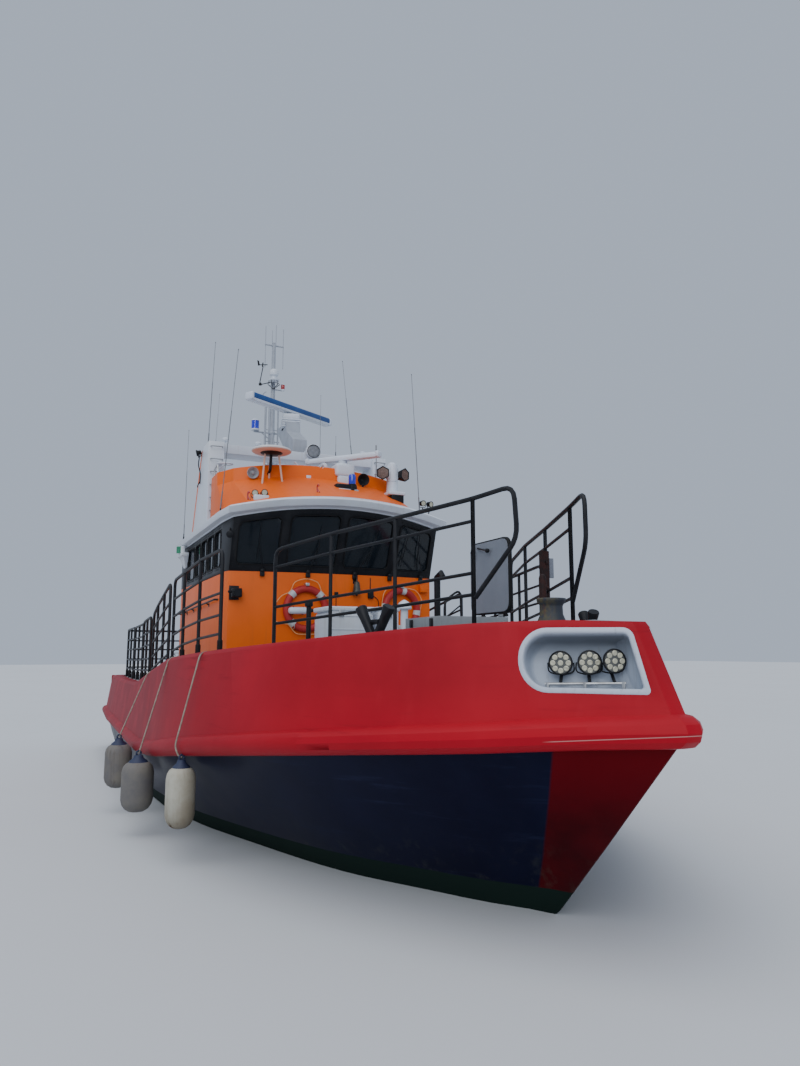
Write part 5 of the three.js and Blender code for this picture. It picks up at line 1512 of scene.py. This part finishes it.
def floodlight(at, way, radius, foot):
    """A round finned lamp in a yoke on a foot, and its glass"""
    at, way, foot = Vector(at), Vector(way).normalized(), Vector(foot)
    fins = [(-0.085, radius * 0.35), (-0.08, radius * 0.62)]
    for k in range(4):
        fins += [(-0.072 + 0.013 * k, radius * 0.62), (-0.072 + 0.013 * k, radius * 0.84),
                 (-0.066 + 0.013 * k, radius * 0.84), (-0.066 + 0.013 * k, radius * 0.66)]
    fins += [(-0.014, radius * 0.94), (0, radius), (0.012, radius * 0.98), (0.014, radius * 0.88),
        (0.002, radius * 0.85)]
    body = turned(fins, at, way, 24)
    glass = turned([(0.0, radius * 0.86), (0.006, radius * 0.82), (0.009, radius * 0.3)], at, way, 24)
    side = Vector((-way.y, way.x, 0)).normalized() * (radius + 0.008)
    back = at - way * 0.03
    low = Vector((0, 0, -(radius + 0.02)))
    yoke = tubes([([back + side, back + side + low, back - side + low, back - side], 0.006, 0.03),
        ([back + low, foot], 0.01)])
    return [body, yoke], glass


class LIFEBOAT_OT_flying_bridge(bpy.types.Operator):
    """Dresses the flying bridge and makes the lamps, speaker, horn and beacon on it"""

    bl_idname = "lifeboat.flying_bridge"
    bl_label = "Flying bridge"

    def execute(self, context):
        dressed("flying_bridge_screen", "house_orange", 0.02, 3, slot="orange", shape=bowed_screen)
        dressed("flying_bridge_helm", "gloss_white", 0.012)
        bodies, glasses = [], []
        for at, way, foot in (
            ((0.8, -1.35, 4.76), (1, -0.15, -0.1), (0.82, -1.35, 4.66)),
            ((0.8, -1.196, 4.778), (1, -0.05, -0.1), (0.82, -1.2, 4.67)),
            ((0.8, 1.618, 4.815), (1, 0.1, -0.1), (0.77, 1.66, 4.5)),
            ((0.8, 1.765, 4.808), (1, 0.35, -0.1), (0.77, 1.7, 4.5)),
        ):
            body, glass = floodlight(at, way, 0.053, foot)
            bodies += body
            glasses.append(glass)
        piece("roof_lamps", bodies, "satin_black")
        piece("roof_lamp_glasses", glasses, "plain_lens")
        bases = [block(0.79, 0.885, -1.38, -1.14, 4.625, 4.72, 0.012, 3),
            block(0.71, 0.83, 1.6, 1.76, 4.46, 4.52, 0.01)]
        piece("lamp_bases", bases, "gloss_white")

        speaker = turned([(-0.07, 0.03), (-0.06, 0.06), (-0.03, 0.07), (0, 0.096), (0.012, 0.102),
            (0.016, 0.098), (0.008, 0.084), (-0.03, 0.052), (-0.032, 0.034), (-0.005, 0.032),
            (0.004, 0.018)], (-0.09, -1.183, 5.285), (1, -0.05, -0.12), 32)
        bar = tubes([([(-0.14, -1.183, 5.22), (-0.12, -1.183, 5.285)], 0.02)])
        piece("speaker", [speaker, bar], "cast_grey")
        horn = turned([(-0.16, 0.026), (-0.15, 0.034), (-0.09, 0.042), (-0.04, 0.07), (0, 0.105),
            (0.008, 0.111), (0.012, 0.106), (-0.01, 0.082), (-0.06, 0.045), (-0.08, 0.02)],
            (0.05, 0.79, 5.31), (1, -0.05, -0.1), 32)
        stalk = tubes([([(-0.07, 0.79, 5.31), (-0.13, 0.79, 5.27)], 0.024),
            ([(0.02, 0.79, 5.24), (0.02, 0.79, 5.14)], 0.02)])
        piece("horn", [horn, stalk], "satin_black")

        at = (0.35, 0.461, 5.125)
        lens = turned([(0.012, 0.06), (0.03, 0.064), (0.15, 0.064), (0.185, 0.052), (0.2, 0.02)], at,
            (0, 0, 1), 28)
        piece("front_beacon_lens", [lens], "beacon_blue")
        cup = turned([(-0.035, 0.045), (-0.02, 0.068), (0.012, 0.07), (0.014, 0.06)], at, (0, 0, 1), 28)
        leg = block(0.31, 0.42, 0.42, 0.5, 4.99, 5.11, 0.014)
        ledge = block(0.4, 0.47, 0.39, 0.47, 4.88, 5.04, 0.012)
        piece("front_beacon_foot", [cup, leg, ledge], "satin_black")

        hooks = []
        for x, y in ((0.79, -1.46), (0.79, -0.31)):
            root = slope_at(x, y)
            hooks.append(([root, root + Vector((0.0, -0.005, 0.1)), root + Vector((0.035, 0.0, 0.135)),
                root + Vector((0.05, 0.01, 0.1))], 0.012, 0.02))
            hooks.append(([root + Vector((0.03, 0.03, 0)), root + Vector((0.0, 0.0, 0.06))], 0.009))
        piece("slope_hooks", [tubes(hooks)], "port_red")
        stay = [([(-0.13, -0.44, 5.56), (-0.12, -0.189, 5.3), (-0.12, 0.09, 5.5)], 0.014, 0.01),
            ([(-0.13, -0.3, 5.42), (-0.12, -0.189, 5.3)], 0.008),
            ([(-0.12, -0.05, 5.39), (-0.11, 0.05, 5.53)], 0.006)]
        clamp = block(-0.14, -0.08, -0.235, -0.145, 5.27, 5.33, 0.01)
        piece("coaming_stay", [tubes(stay), clamp], "gloss_white")
        pole = [([(-0.33, 1.18, 5.36), (-0.2, 1.14, 5.66), (-0.2, 1.135, 5.96)], 0.01, 0.02),
                ([(-0.2, 1.135, 5.95), (-0.2, 1.135, 6.04)], 0.016)]
        piece("tag_pole", [tubes(pole)], "cast_grey")

        wheel = [ring((-0.8, 0.28, 5.22), (-1, 0, 0.5), 0.17, 0.013),
            tubes([([(-0.8, 0.28, 5.22), (-0.8 - 0.075 * sin(a), 0.28 + 0.165 * cos(a),
            5.22 - 0.15 * sin(a))], 0.008) for a in (0.6, 2.7,
            4.8)] + [([(-0.8, 0.28, 5.22), (-0.66, 0.28, 5.15)], 0.022)])]
        dials = [turned([(-0.004, 0.045), (0.01, 0.047), (0.012, 0.04)], (-0.6, y, 5.215),
            (-0.55, 0, 0.83), 20) for y in (-0.35, -0.23, -0.11, 0.01)]
        levers = tubes([([(-0.62, y, 5.2), (-0.7, y, 5.33)], 0.009) for y in (0.36, 0.41)])
        piece("bridge_wheel", wheel + dials + [levers], "satin_black")
        rail = []
        for _, side in SIDES:
            rail.append(([(-1.02, side * 1.655, 5.36), (-1.02, side * 1.655, 5.5),
                (-0.72, side * 1.66, 5.52), (-0.7, side * 1.655, 5.37)], 0.014, 0.05))
        piece("bridge_grips", [tubes(rail)], "bare_steel")
        return {"FINISHED"}


# Radar arch, radars and searchlights
def rolled_bar(at, length, yaw, height, width, front, body_name):
    """A radar scanner: its coloured front, its pale back and underside, and its end caps"""
    turn = Matrix.Translation(at) @ Matrix.Rotation(radians(yaw + 90), 4, "Z")
    half, w, foot = length / 2, width / 2, 0.035
    front_part = block(-0.4 * w, w + 0.004, -half + 0.05, half - 0.05, foot + 0.034, height + 0.034, 0.03, 3)
    back = [block(-w - 0.001, 0.9 * w, -half + 0.05, half - 0.05, foot - 0.002, height - 0.01, 0.014, 2),
            turned([(0, 0.085), (0.02, 0.088), (0.03, 0.07), (0.045, 0.065)], sides=24)]
    back += [block(-w - 0.004, w + 0.008, side * half, side * (half - 0.075), foot - 0.004, height + 0.038,
        0.028, 3) for side in (-1, 1)]
    for obj in [front_part, *back]:
        obj.data.transform(turn)
    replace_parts(piece(f"{body_name}_bar", back, "gloss_white", body=body_name), body_name)
    piece(f"{body_name}_face", [front_part], front, body=body_name, slot="blue")


def hexagon_lamp(at, way):
    """A six-sided lamp on the twin head: its housing and its glass"""
    body = turned([(-0.11, 0.05), (-0.1, 0.075), (-0.03, 0.1), (0.05, 0.122), (0.075, 0.13),
        (0.087, 0.13), (0.09, 0.114), (0.075, 0.11)], at, way, 6)
    face_edges(body, 0.006, 2, 20)
    glass = turned([(0.071, 0.112), (0.077, 0.108), (0.079, 0.03)], at, way, 6)
    return body, glass


class LIFEBOAT_OT_radars(bpy.types.Operator):
    """Makes the arch with its rungs, the two radars, the searchlight, the twin light and the disc"""

    bl_idname = "lifeboat.radars"
    bl_label = "Arch and radars"

    def execute(self, context):
        dressed("radar_arch", "gloss_white", 0.025, 3, slot="white")
        rungs, strips = [], []
        for _, side in SIDES:
            for k in range(6):
                z = 5.96 - 0.24 * k
                x = -1.08 - 0.06 * (z - 4.4)
                rungs.append(([(x - 0.01, side * 1.71, z), (x + 0.07, side * 1.71, z - 0.01),
                    (x + 0.07, side * 1.5, z - 0.01), (x - 0.01, side * 1.5, z)], 0.01, 0.03))
            face = side * 1.7465
            edge = [(-2.7, 4.5), (-1.9, 6.01), (-1.79, 6.01), (-2.59, 4.5)]
            strips.append(pane([Vector((x, face, z)) for x, z in edge], Vector((0, -side * 0.004, 0)), 0.001))
        piece("arch_rungs", [tubes(rungs)], "cast_grey")
        piece("arch_stripes", strips, "house_orange")

        gear = [([(-1.1, -1.56, 5.54), (-1.03, -1.47, 5.6), (-1.03, -1.47, 5.64)], 0.012, 0.03)]
        gear += [([(-1.03, -1.47, 5.62), (-1.03 + 0.125 * cos(a), -1.47 + 0.125 * sin(a), 5.62)],
            0.009) for a in (0.4, 2.5, 4.6)]
        loop = ring((-1.03, -1.47, 5.62), (0.1, 0, 1), 0.13, 0.016, 36)
        hub = turned([(-0.02, 0.026), (0.025, 0.026), (0.035, 0.012)], (-1.03, -1.47, 5.62))
        caps = [turned([(0, 0.01), (0.11, 0.01), (0.115, 0.055), (0.15, 0.065), (0.175, 0.045),
            (0.185, 0.015)], at) for at in ((-1.5, -1.385, 6.05), (-1.45, 1.35, 6.05), (-1.56, -0.75, 6.05))]
        boxes = [block(-1.62, -1.42, y - 0.05, y + 0.05, 6.04, 6.075, 0.008)
            for y in (-1.385, 1.35, -0.75, 0.475, 0.8, 1.146)]
        piece("arch_antennas", [tubes(gear), loop, hub, *caps, *boxes], "gloss_white")
        lamp, lens = floodlight((-1.86, -1.84, 5.97), (-0.2, -1, -0.25), 0.06, (-1.86, -1.755, 5.93))
        cable = tubes([([(-1.86, -1.79, 5.93), (-1.9, -1.8, 5.74), (-1.88, -1.757, 5.6),
            (-1.93, -1.757, 5.4)], 0.011, 0.08), ([(-1.93, -1.757, 5.44), (-1.96, -1.79, 5.36),
            (-1.93, -1.79, 5.33)], 0.01, 0.02)])
        piece("arch_lamp", [*lamp, cable], "satin_black")
        piece("arch_lamp_glass", [lens], "plain_lens")

        # the white radar pedestal takes the mast's grey as painted shade
        dressed("upper_radar_base", "mast_grey", 0.03, 4, slot="white")
        gearbox = [block(-0.19, 0.21, -0.17, 0.17, -0.135, -0.015, 0.03, 3)]
        gearbox += [block(-0.205, 0.225, -0.185, 0.185, z, z + 0.028, 0.012, 2)
            for z in (-0.29, -0.245, -0.2, -0.155)]
        gearbox.append(block(-0.18, 0.2, -0.165, 0.165, -0.3, -0.13, 0.02, 2))
        for obj in gearbox:
            obj.data.transform(Matrix.Translation((-2.05, 0.02, 6.985)) @ Matrix.Rotation(radians(-12),
                4, "Z"))
        piece("upper_radar_gearbox", gearbox, "gloss_white")
        seal = turned([(0, 0.165), (0.006, 0.175), (0.028, 0.175), (0.034, 0.16)], (-2.05, 0.02, 6.655),
            sides=32)
        piece("upper_radar_seal", [seal], "satin_black")
        rolled_bar((-2.05, 0.02, 6.99), 2.32, -60, 0.15, 0.19, "scanner_blue", "upper_radar_scanner")

        housing = [block(-0.4, -0.02, 0.3, 0.66, 5.36, 5.595, 0.05, 4),
                   turned([(0, 0.12), (0.02, 0.12), (0.04, 0.085), (0.048, 0.08)], (-0.2, 0.48, 5.59)),
                   block(-0.36, -0.02, 0.34, 0.62, 5.19, 5.37, 0.03, 3)]
        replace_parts(piece("lower_radar_housing", housing, "gloss_white"), "lower_radar_base")
        # the black foot stands partly for the shade under the housing, over a grey plate
        foot = block(0.14, 0.41, 0.15, 0.54, 5.015, 5.13, 0.03, 3)
        piece("lower_radar_foot", [foot], "satin_black")
        sole = block(0.26, 0.47, 0.17, 0.55, 4.955, 5.035, 0.025, 3)
        piece("lower_radar_sole", [sole], "bare_steel")
        rolled_bar((-0.2, 0.48, 5.64), 1.52, 41, 0.11, 0.15, "gloss_white", "lower_radar_scanner")

        disc = turned([(-0.036, 0.25), (-0.03, 0.31), (-0.012, 0.337), (0.005, 0.342), (0.02, 0.332),
            (0.042, 0.275), (0.058, 0.17), (0.064, 0.05)], (0.06, -0.905, 5.66), sides=56)
        legs = tubes([([(0.06 + a, -0.905 + b, 5.6), at], 0.017) for a, b,
            at in ((0.03, -0.12, (0.148, -1.079, 5.01)), (0.03, 0.12, (0.147, -0.721, 5.05)),
            (-0.06, 0.0, (-0.1, -0.9, 5.16)))])
        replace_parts(piece("disc_antenna_shell", [disc, legs], "disc_white", slot="white"), "disc_antenna")
        hub = turned([(-0.075, 0.06), (-0.07, 0.13), (-0.045, 0.185), (-0.036, 0.19)], (0.06, -0.905, 5.66),
            sides=28)
        stem = tubes([([(0.04, -0.905, 5.6), (0.0, -0.905, 5.33), (-0.12, -0.905, 5.3)], 0.024, 0.05)])
        piece("disc_hub", [hub, stem], "satin_black")

        dressed("searchlight_stand", "gloss_white", 0.006)
        at = (-1.0, 0.15, 5.995)
        body = turned([(-0.13, 0.05), (-0.115, 0.085), (-0.06, 0.115), (0.0, 0.124), (0.02, 0.127),
            (0.02, 0.135), (0.045, 0.135), (0.045, 0.127), (0.1, 0.13), (0.118, 0.138), (0.122, 0.124),
            (0.1, 0.12)], at, (1, 0, -0.08), 36)
        rim = ring((-0.882, 0.15, 5.985), (1, 0, -0.08), 0.124, 0.006, 36)
        piece("searchlight_rim", [rim], "satin_black", body="searchlight", slot=None)
        post = turned([(-0.16, 0.05), (-0.155, 0.062), (-0.13, 0.055), (-0.1, 0.035)], at, sides=20)
        ears = tubes([([(-1.0, 0.15, 5.86), (-1.0, side * 0.12 + 0.15, 5.875),
            (-1.0, side * 0.137 + 0.15, 5.995)], 0.013, 0.04) for side in (-1, 1)])
        head = piece("searchlight_head", [body, post, ears], "gloss_white", body="searchlight")
        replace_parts(head, "searchlight")
        lens = turned([(0.098, 0.122), (0.106, 0.11), (0.11, 0.06), (0.104, 0.02)], at, (1, 0, -0.08), 36)
        piece("searchlight_glass", [lens], "grey_lens", body="searchlight")

        column = turned([(5.02, 0.12), (5.12, 0.118), (5.17, 0.105), (5.3, 0.098), (5.326, 0.1)],
            (-0.02, 1.38, 0), sides=28)
        stand = piece("twin_light_column", [column, block(-0.16, 0.3, 1.19, 1.51, 5.035, 5.1, 0.02, 3)],
            "gloss_white")
        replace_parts(stand, "twin_light_stand")
        piece("twin_light_box", [block(-0.06, 0.29, 1.24, 1.48, 4.86, 5.04, 0.015)], "satin_black")
        middle = turned([(5.331, 0.098), (5.36, 0.102), (5.42, 0.095), (5.6, 0.098), (5.655, 0.085),
            (5.692, 0.04)], (-0.02, 1.38, 0), sides=28)
        yokes = [block(-0.085, 0.045, 1.27, 1.49, 5.36, 5.635, 0.045, 3),
            block(-0.06, 0.02, 1.2, 1.56, 5.41, 5.53, 0.03, 3)]
        caps = [turned([(0, 0.03), (0.01, 0.032), (0.014, 0.02)], (0.044, y, 5.585), (1, 0, 0.1), 16)
                for y in (1.34, 1.42)]
        head = piece("twin_light_head", [middle, *yokes, *caps], "gloss_white", body="twin_light")
        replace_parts(head, "twin_light")
        lamps = [hexagon_lamp((0.0, 1.38 + side * 0.185, 5.47), (1, side * 0.5, -0.03)) for side in (-1, 1)]
        piece("twin_light_lamps", [body for body, _ in lamps], "satin_black", body="twin_light")
        piece("twin_light_glasses", [glass for _, glass in lamps], "amber_lens", body="twin_light")
        return {"FINISHED"}


# Mast and whips
MAST_X = -3.42
# columns: foot, top, radius at the foot
WHIPS = (
    ((-1.75, -1.66, 6.055), (-1.75, -1.586, 8.171), 0.011),
    ((0.054, -1.75, 4.48), (0.05, -1.524, 7.395), 0.012),
    ((-2.85, -1.87, 4.44), (-2.9, -1.843, 6.689), 0.009),
    ((-1.5, 1.146, 6.06), (-1.5, 0.922, 8.086), 0.01),
    ((-1.5, 0.475, 6.06), (-1.5, 0.475, 7.309), 0.007),
    ((-1.5, 0.8, 6.06), (-1.5, 0.8, 6.504), 0.007),
    ((0.78, 1.56, 4.56), (0.79, 1.4, 7.13), 0.011),
    ((-1.6, -1.55, 6.055), (-1.6, -1.5, 7.1), 0.005),
)


class LIFEBOAT_OT_mast(bpy.types.Operator):
    """Makes the mast with its yards, lamps, dome and wind vane, and the whip antennas"""

    bl_idname = "lifeboat.mast"
    bl_label = "Mast and whips"

    def execute(self, context):
        x = MAST_X
        pole = turned([(4.36, 0.062), (6.9, 0.056), (8.97, 0.04), (8.985, 0.02)], (x, 0, 0), sides=20)
        collars = [turned([(z, 0.045 + 0.02), (z + 0.01, 0.072), (z + 0.05, 0.072), (z + 0.06, 0.065)],
            (x, 0, 0), sides=20) for z in (6.93, 7.66, 8.13)]
        runs = [([(x + 0.48, -0.18, 4.4), (x + 0.03, 0, 7.0)], 0.026),
            ([(x + 0.48, 0.18, 4.4), (x + 0.03, 0, 7.0)], 0.026),
            ([(x, -0.2, 8.955), (x, 0.22, 8.955)], 0.018), ([(x, 0, 8.97), (x, 0, 9.02)], 0.03),
            ([(x, -0.19, 8.43), (x, -0.19, 9.38)], 0.008), ([(x, 0.21, 8.45), (x, 0.21, 9.37)], 0.008),
            ([(x, 0.045, 8.97), (x, 0.045, 9.44)], 0.008), ([(x, -0.04, 8.97), (x, -0.04, 9.31)], 0.007),
            ([(x, -0.26, 7.69), (x, 0.1, 7.69)], 0.016), ([(x, -0.4, 6.96), (x, 0.16, 6.96)], 0.018),
            ([(x, -0.24, 6.96), (x, 0, 6.78)], 0.012), ([(x, 0, 7.95), (x + 0.06, 0.19, 7.93)], 0.014),
            ([(x, 0, 8.1), (x + 0.12, -0.02, 8.1)], 0.022),
            ([(x - 0.06, 0, 8.15), (x - 0.3, 0, 8.2)], 0.012),]
        for k in range(9):
            z = 4.95 + 0.26 * k
            runs.append(([(x, -0.17, z), (x, 0.17, z)], 0.01))
        for y, low, high, radius in ((-0.15, 6.0, 7.72, 0.024), (-0.075, 6.0, 7.66, 0.012),
                (0.13, 6.0, 7.5, 0.018)):
            runs += [([(x, y, low), (x, y, high)], radius), ([(x, 0, low + 0.1), (x, y, low + 0.04)], 0.012)]
        runs.append(([(x, -0.15, 7.72), (x + 0.03, -0.24, 7.8), (x, -0.15, 7.88)], 0.01, 0.05))
        clamp = block(x - 0.035, x + 0.035, -0.05, 0.05, 8.93, 8.985, 0.01)
        mast = piece("mast_frame", [pole, *collars, clamp, tubes(runs)], "mast_grey", slot="white")
        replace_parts(mast, "mast")

        at = (x + 0.14, -0.02, 8.08)
        skirt = turned([(0.0, 0.06), (0.015, 0.115), (0.045, 0.12), (0.055, 0.07), (0.12, 0.06),
            (0.14, 0.095), (0.2, 0.102), (0.25, 0.088), (0.28, 0.05), (0.29, 0.015)], at, sides=32)
        piece("mast_dome", [skirt], "gloss_white")
        gallery = [([(x + 0.14 + 0.13 * cos(a), -0.02 + 0.13 * sin(a), 8.02),
            (x + 0.14 + 0.13 * cos(a + 0.7), -0.02 + 0.13 * sin(a + 0.7), 8.02)], 0.006)
            for a in [0.7 * k for k in range(9)]]
        gallery += [([(x + 0.14 + 0.12 * cos(a), -0.02 + 0.12 * sin(a), 8.09),
            (x + 0.14 + 0.13 * cos(a), -0.02 + 0.13 * sin(a), 8.02),
            (x + 0.14 + 0.06 * cos(a), -0.02 + 0.06 * sin(a), 7.96), (x, 0, 7.94)], 0.006, 0.02)
            for a in (0.5, 2.1, 4.2, 5.6)]
        arm = [([(x, -0.02, 8.12), (x + 0.02, -0.28, 8.02), (x + 0.02, -0.3, 8.06),
            (x + 0.02, -0.235, 8.44)], 0.01, 0.03), ([(x + 0.02, -0.33, 8.46), (x + 0.02, -0.14, 8.49)],
            0.01), ([(x + 0.02, -0.33, 8.44), (x + 0.02, -0.345, 8.54)], 0.012),
            ([(x + 0.02, -0.25, 8.43), (x + 0.02, -0.24, 8.52)], 0.014)]
        vane = pane([Vector((x + 0.02, a, b)) for a, b in ((-0.37, 8.56), (-0.33, 8.55), (-0.31, 8.46),
            (-0.35, 8.44))], Vector((0.006, 0, 0)), 0.001)
        mounts = [turned([(0, 0.03), (0.03, 0.036), (0.06, 0.02)], (x + 0.02, -0.29, 8.0))]
        piece("wind_vane", [tubes(arm + gallery), vane, *mounts], "satin_black")
        for name, at, radius, height, lens in (
            ("mast_red_lamp", (x + 0.07, 0.205, 7.92), 0.042, 0.17, "port_red"),
            ("mast_blue_lamp", (x, -0.37, 6.98), 0.082, 0.25, "beacon_blue"),
        ):
            glass = turned([(0.03, radius * 0.9), (0.04, radius), (height - 0.04, radius),
                (height - 0.03, radius * 0.9)], at, sides=28)
            piece(f"{name}_glass", [glass], lens)
            ends = [turned([(0, radius * 0.6), (0.005, radius * 1.08), (0.034, radius * 1.08),
                (0.036, radius * 0.8)], at), turned([(height - 0.036, radius * 0.8),
                (height - 0.034, radius * 1.08), (height - 0.01, radius * 0.9), (height, radius * 0.3)], at)]
            piece(f"{name}_caps", ends, "gloss_white")

        rods, feet = [], []
        for foot, top, radius in WHIPS:
            foot, top = Vector(foot), Vector(top)
            rods += [([foot.lerp(top, 0.1), foot.lerp(top, 0.62)], radius * 0.62),
                ([foot.lerp(top, 0.62), top], radius * 0.4),
                ([foot.lerp(top, 0.04), foot.lerp(top, 0.14)], radius),
                ([top - (top - foot).normalized() * 0.02, top], radius * 0.7)]
            feet.append(turned([(-0.02, radius * 2.6), (0.0, radius * 2.6), (0.008, radius * 1.7),
                (0.06, radius * 1.5), (0.065, radius), (0.12, radius * 1.1)], foot, (top - foot), 14))
        piece("whip_rods", [tubes(rods)], "whip_grey")
        piece("whip_feet", feet, "satin_black")
        return {"FINISHED"}


# Aft deck
class LIFEBOAT_OT_aft_deck(bpy.types.Operator):
    """Dresses the casing over the engines, and makes its hatches, vents and grab bars and the cleats"""

    bl_idname = "lifeboat.aft_deck"
    bl_label = "Aft deck"

    def execute(self, context):
        dressed("aft_casing", "deck_grey", 0.04, 4)
        hatches, trim = [], []
        for x in (-6.25, -5.2):
            for y in (-0.62, 0.62):
                hatches.append(block(x - 0.42, x + 0.42, y - 0.47, y + 0.47, 2.34, 2.375, 0.02, 3))
                trim.append(([(x - 0.13, y * 0.35, 2.37), (x - 0.13, y * 0.35, 2.41),
                    (x + 0.13, y * 0.35, 2.41), (x + 0.13, y * 0.35, 2.37)], 0.01, 0.02))
                for a in (-0.28, 0.28):
                    out = y + copysign(0.47, y)
                    trim.append(([(x + a - 0.05, out, 2.365), (x + a + 0.05, out, 2.365)], 0.016))
        piece("casing_hatches", hatches, "lid_grey")
        louvres, frames = [], []
        for x in (-6.35, -5.75, -5.15):
            for side in (-1, 1):
                y = side * 1.322
                frames.append(block(x - 0.21, x + 0.21, min(y, y + side * 0.02), max(y, y + side * 0.02),
                    1.86, 2.17, 0.006))
                for k in range(6):
                    z = 1.9 + 0.044 * k
                    blade = block(-0.17, 0.17, -0.004, 0.004, -0.02, 0.02, 0.002, 1)
                    blade.data.transform(Matrix.Translation((x, y + side * 0.026,
                        z)) @ Matrix.Rotation(side * 0.7, 4, "X"))
                    louvres.append(blade)
        piece("casing_louvre_frames", frames, "deck_grey", slot="grey")
        piece("casing_louvres", louvres, "satin_black")
        for side in (-1, 1):
            trim.append(([(-6.8, side * 1.345, 2.17), (-6.8, side * 1.4, 2.23),
                (-4.7, side * 1.4, 2.23), (-4.7, side * 1.345, 2.17)], 0.014, 0.04))
        cleats = []
        for x, y in ((-7.75, -2.0), (-7.75, 2.0), (-4.2, -2.28), (-4.2, 2.28), (0.9, -2.38), (0.9, 2.38)):
            z = deck_at(x) - 0.03
            cleats += [([(x - 0.17, y, z + 0.1), (x - 0.06, y, z + 0.115), (x + 0.06, y, z + 0.115),
                (x + 0.17, y, z + 0.1)], 0.02, 0.05), ([(x - 0.06, y, z), (x - 0.05, y, z + 0.11)], 0.024),
                ([(x + 0.06, y, z), (x + 0.05, y, z + 0.11)], 0.024)]
        piece("casing_trim", [tubes(trim)], "bare_steel")
        piece("deck_cleats", [tubes(cleats)], "satin_black")
        return {"FINISHED"}


# Fenders
# columns: node, centre x and y, foot, top, radius, line from the deck's edge to the eye, finish
FENDERS = (
    ("fender_fore", 3.635, -2.789, 0.31, 1.11, 0.165,
     ((3.35, -2.5, 2.26), (3.44, -2.59, 2.235), (3.62, -2.868, 1.2), (3.635, -2.83, 1.1)), "fender_white"),
    ("fender_middle", 2.076, -3.083, 0.24, 1.0, 0.2,
     ((2.0, -2.6, 2.195), (2.03, -2.745, 2.175), (2.076, -3.075, 0.985)), "fender_grey"),
    ("fender_aft", 0.362, -3.177, 0.29, 1.05, 0.19,
     ((0.3, -2.62, 1.99), (0.33, -2.81, 1.95), (0.362, -3.17, 1.035)), "fender_grey"),
)


class LIFEBOAT_OT_fenders(bpy.types.Operator):
    """Makes the fenders hung on the starboard side with their caps and lines"""

    bl_idname = "lifeboat.fenders"
    bl_label = "Fenders"

    def execute(self, context):
        caps, lines = [], []
        for node, x, y, foot, top, r, line, cover in FENDERS:
            high = top - 0.145
            body = turned([(foot, 0.035), (foot + 0.008, r * 0.48), (foot + 0.04, r * 0.74),
                (foot + 0.09, r * 0.92), (foot + 0.15, r), (high - 0.12, r), (high - 0.06, r * 0.93),
                (high - 0.02, r * 0.78), (high, r * 0.6)], (x, y, 0), sides=40)
            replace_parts(piece(f"{node}_body", [body], cover, degrees=60), node)
            caps.append(turned([(high - 0.012, r * 0.64), (high + 0.015, r * 0.56), (high + 0.05, r * 0.33),
                (high + 0.085, r * 0.27), (high + 0.09, r * 0.2)], (x, y, 0), sides=28))
            caps.append(ring((x, y, top - 0.035), (1, 0.3, 0), 0.03, 0.012, 20, 8))
            caps.append(turned([(foot - 0.001, 0.05), (foot + 0.01, 0.06), (foot + 0.014, 0.03)], (x, y, 0),
                sides=16))
            lines += [(line, 0.01, 0.06), ([line[-1], (x, y, top - 0.03)], 0.01)]
        piece("fender_caps", caps, "fender_blue")
        piece("fender_lines", [tubes(lines)], "laid_rope")
        return {"FINISHED"}


class LIFEBOAT_PT_panel(bpy.types.Panel):
    """Lists the steps that build the lifeboat"""

    bl_idname = "LIFEBOAT_PT_panel"
    bl_label = "Lifeboat"
    bl_space_type = "VIEW_3D"
    bl_region_type = "UI"
    bl_category = "Lifeboat"

    def draw(self, context):
        layout = self.layout
        for group in (context.scene.lifeboat_colours, context.scene.lifeboat_sizes):
            for name in group.__annotations__:
                layout.prop(group, name)
        for step in STEPS:
            layout.operator(step.bl_idname, text=step.bl_label)


STEPS = (LIFEBOAT_OT_stage, LIFEBOAT_OT_hull, LIFEBOAT_OT_bow_lamps, LIFEBOAT_OT_rails,
    LIFEBOAT_OT_foredeck, LIFEBOAT_OT_wheelhouse, LIFEBOAT_OT_cabin, LIFEBOAT_OT_front_gear,
    LIFEBOAT_OT_lifebuoys, LIFEBOAT_OT_house_aft, LIFEBOAT_OT_flying_bridge, LIFEBOAT_OT_radars,
    LIFEBOAT_OT_mast, LIFEBOAT_OT_aft_deck, LIFEBOAT_OT_fenders,)
CLASSES = (LifeboatColours, LifeboatSizes, *STEPS, LIFEBOAT_PT_panel)


def register():
    for kind in CLASSES:
        bpy.utils.register_class(kind)
    bpy.types.Scene.lifeboat_colours = PointerProperty(type=LifeboatColours)
    bpy.types.Scene.lifeboat_sizes = PointerProperty(type=LifeboatSizes)


def unregister():
    del bpy.types.Scene.lifeboat_sizes
    del bpy.types.Scene.lifeboat_colours
    for kind in reversed(CLASSES):
        bpy.utils.unregister_class(kind)


def main():
    register()
    for step in STEPS:
        space, name = step.bl_idname.split(".")
        getattr(getattr(bpy.ops, space), name)()


if __name__ == "__main__":
    main()
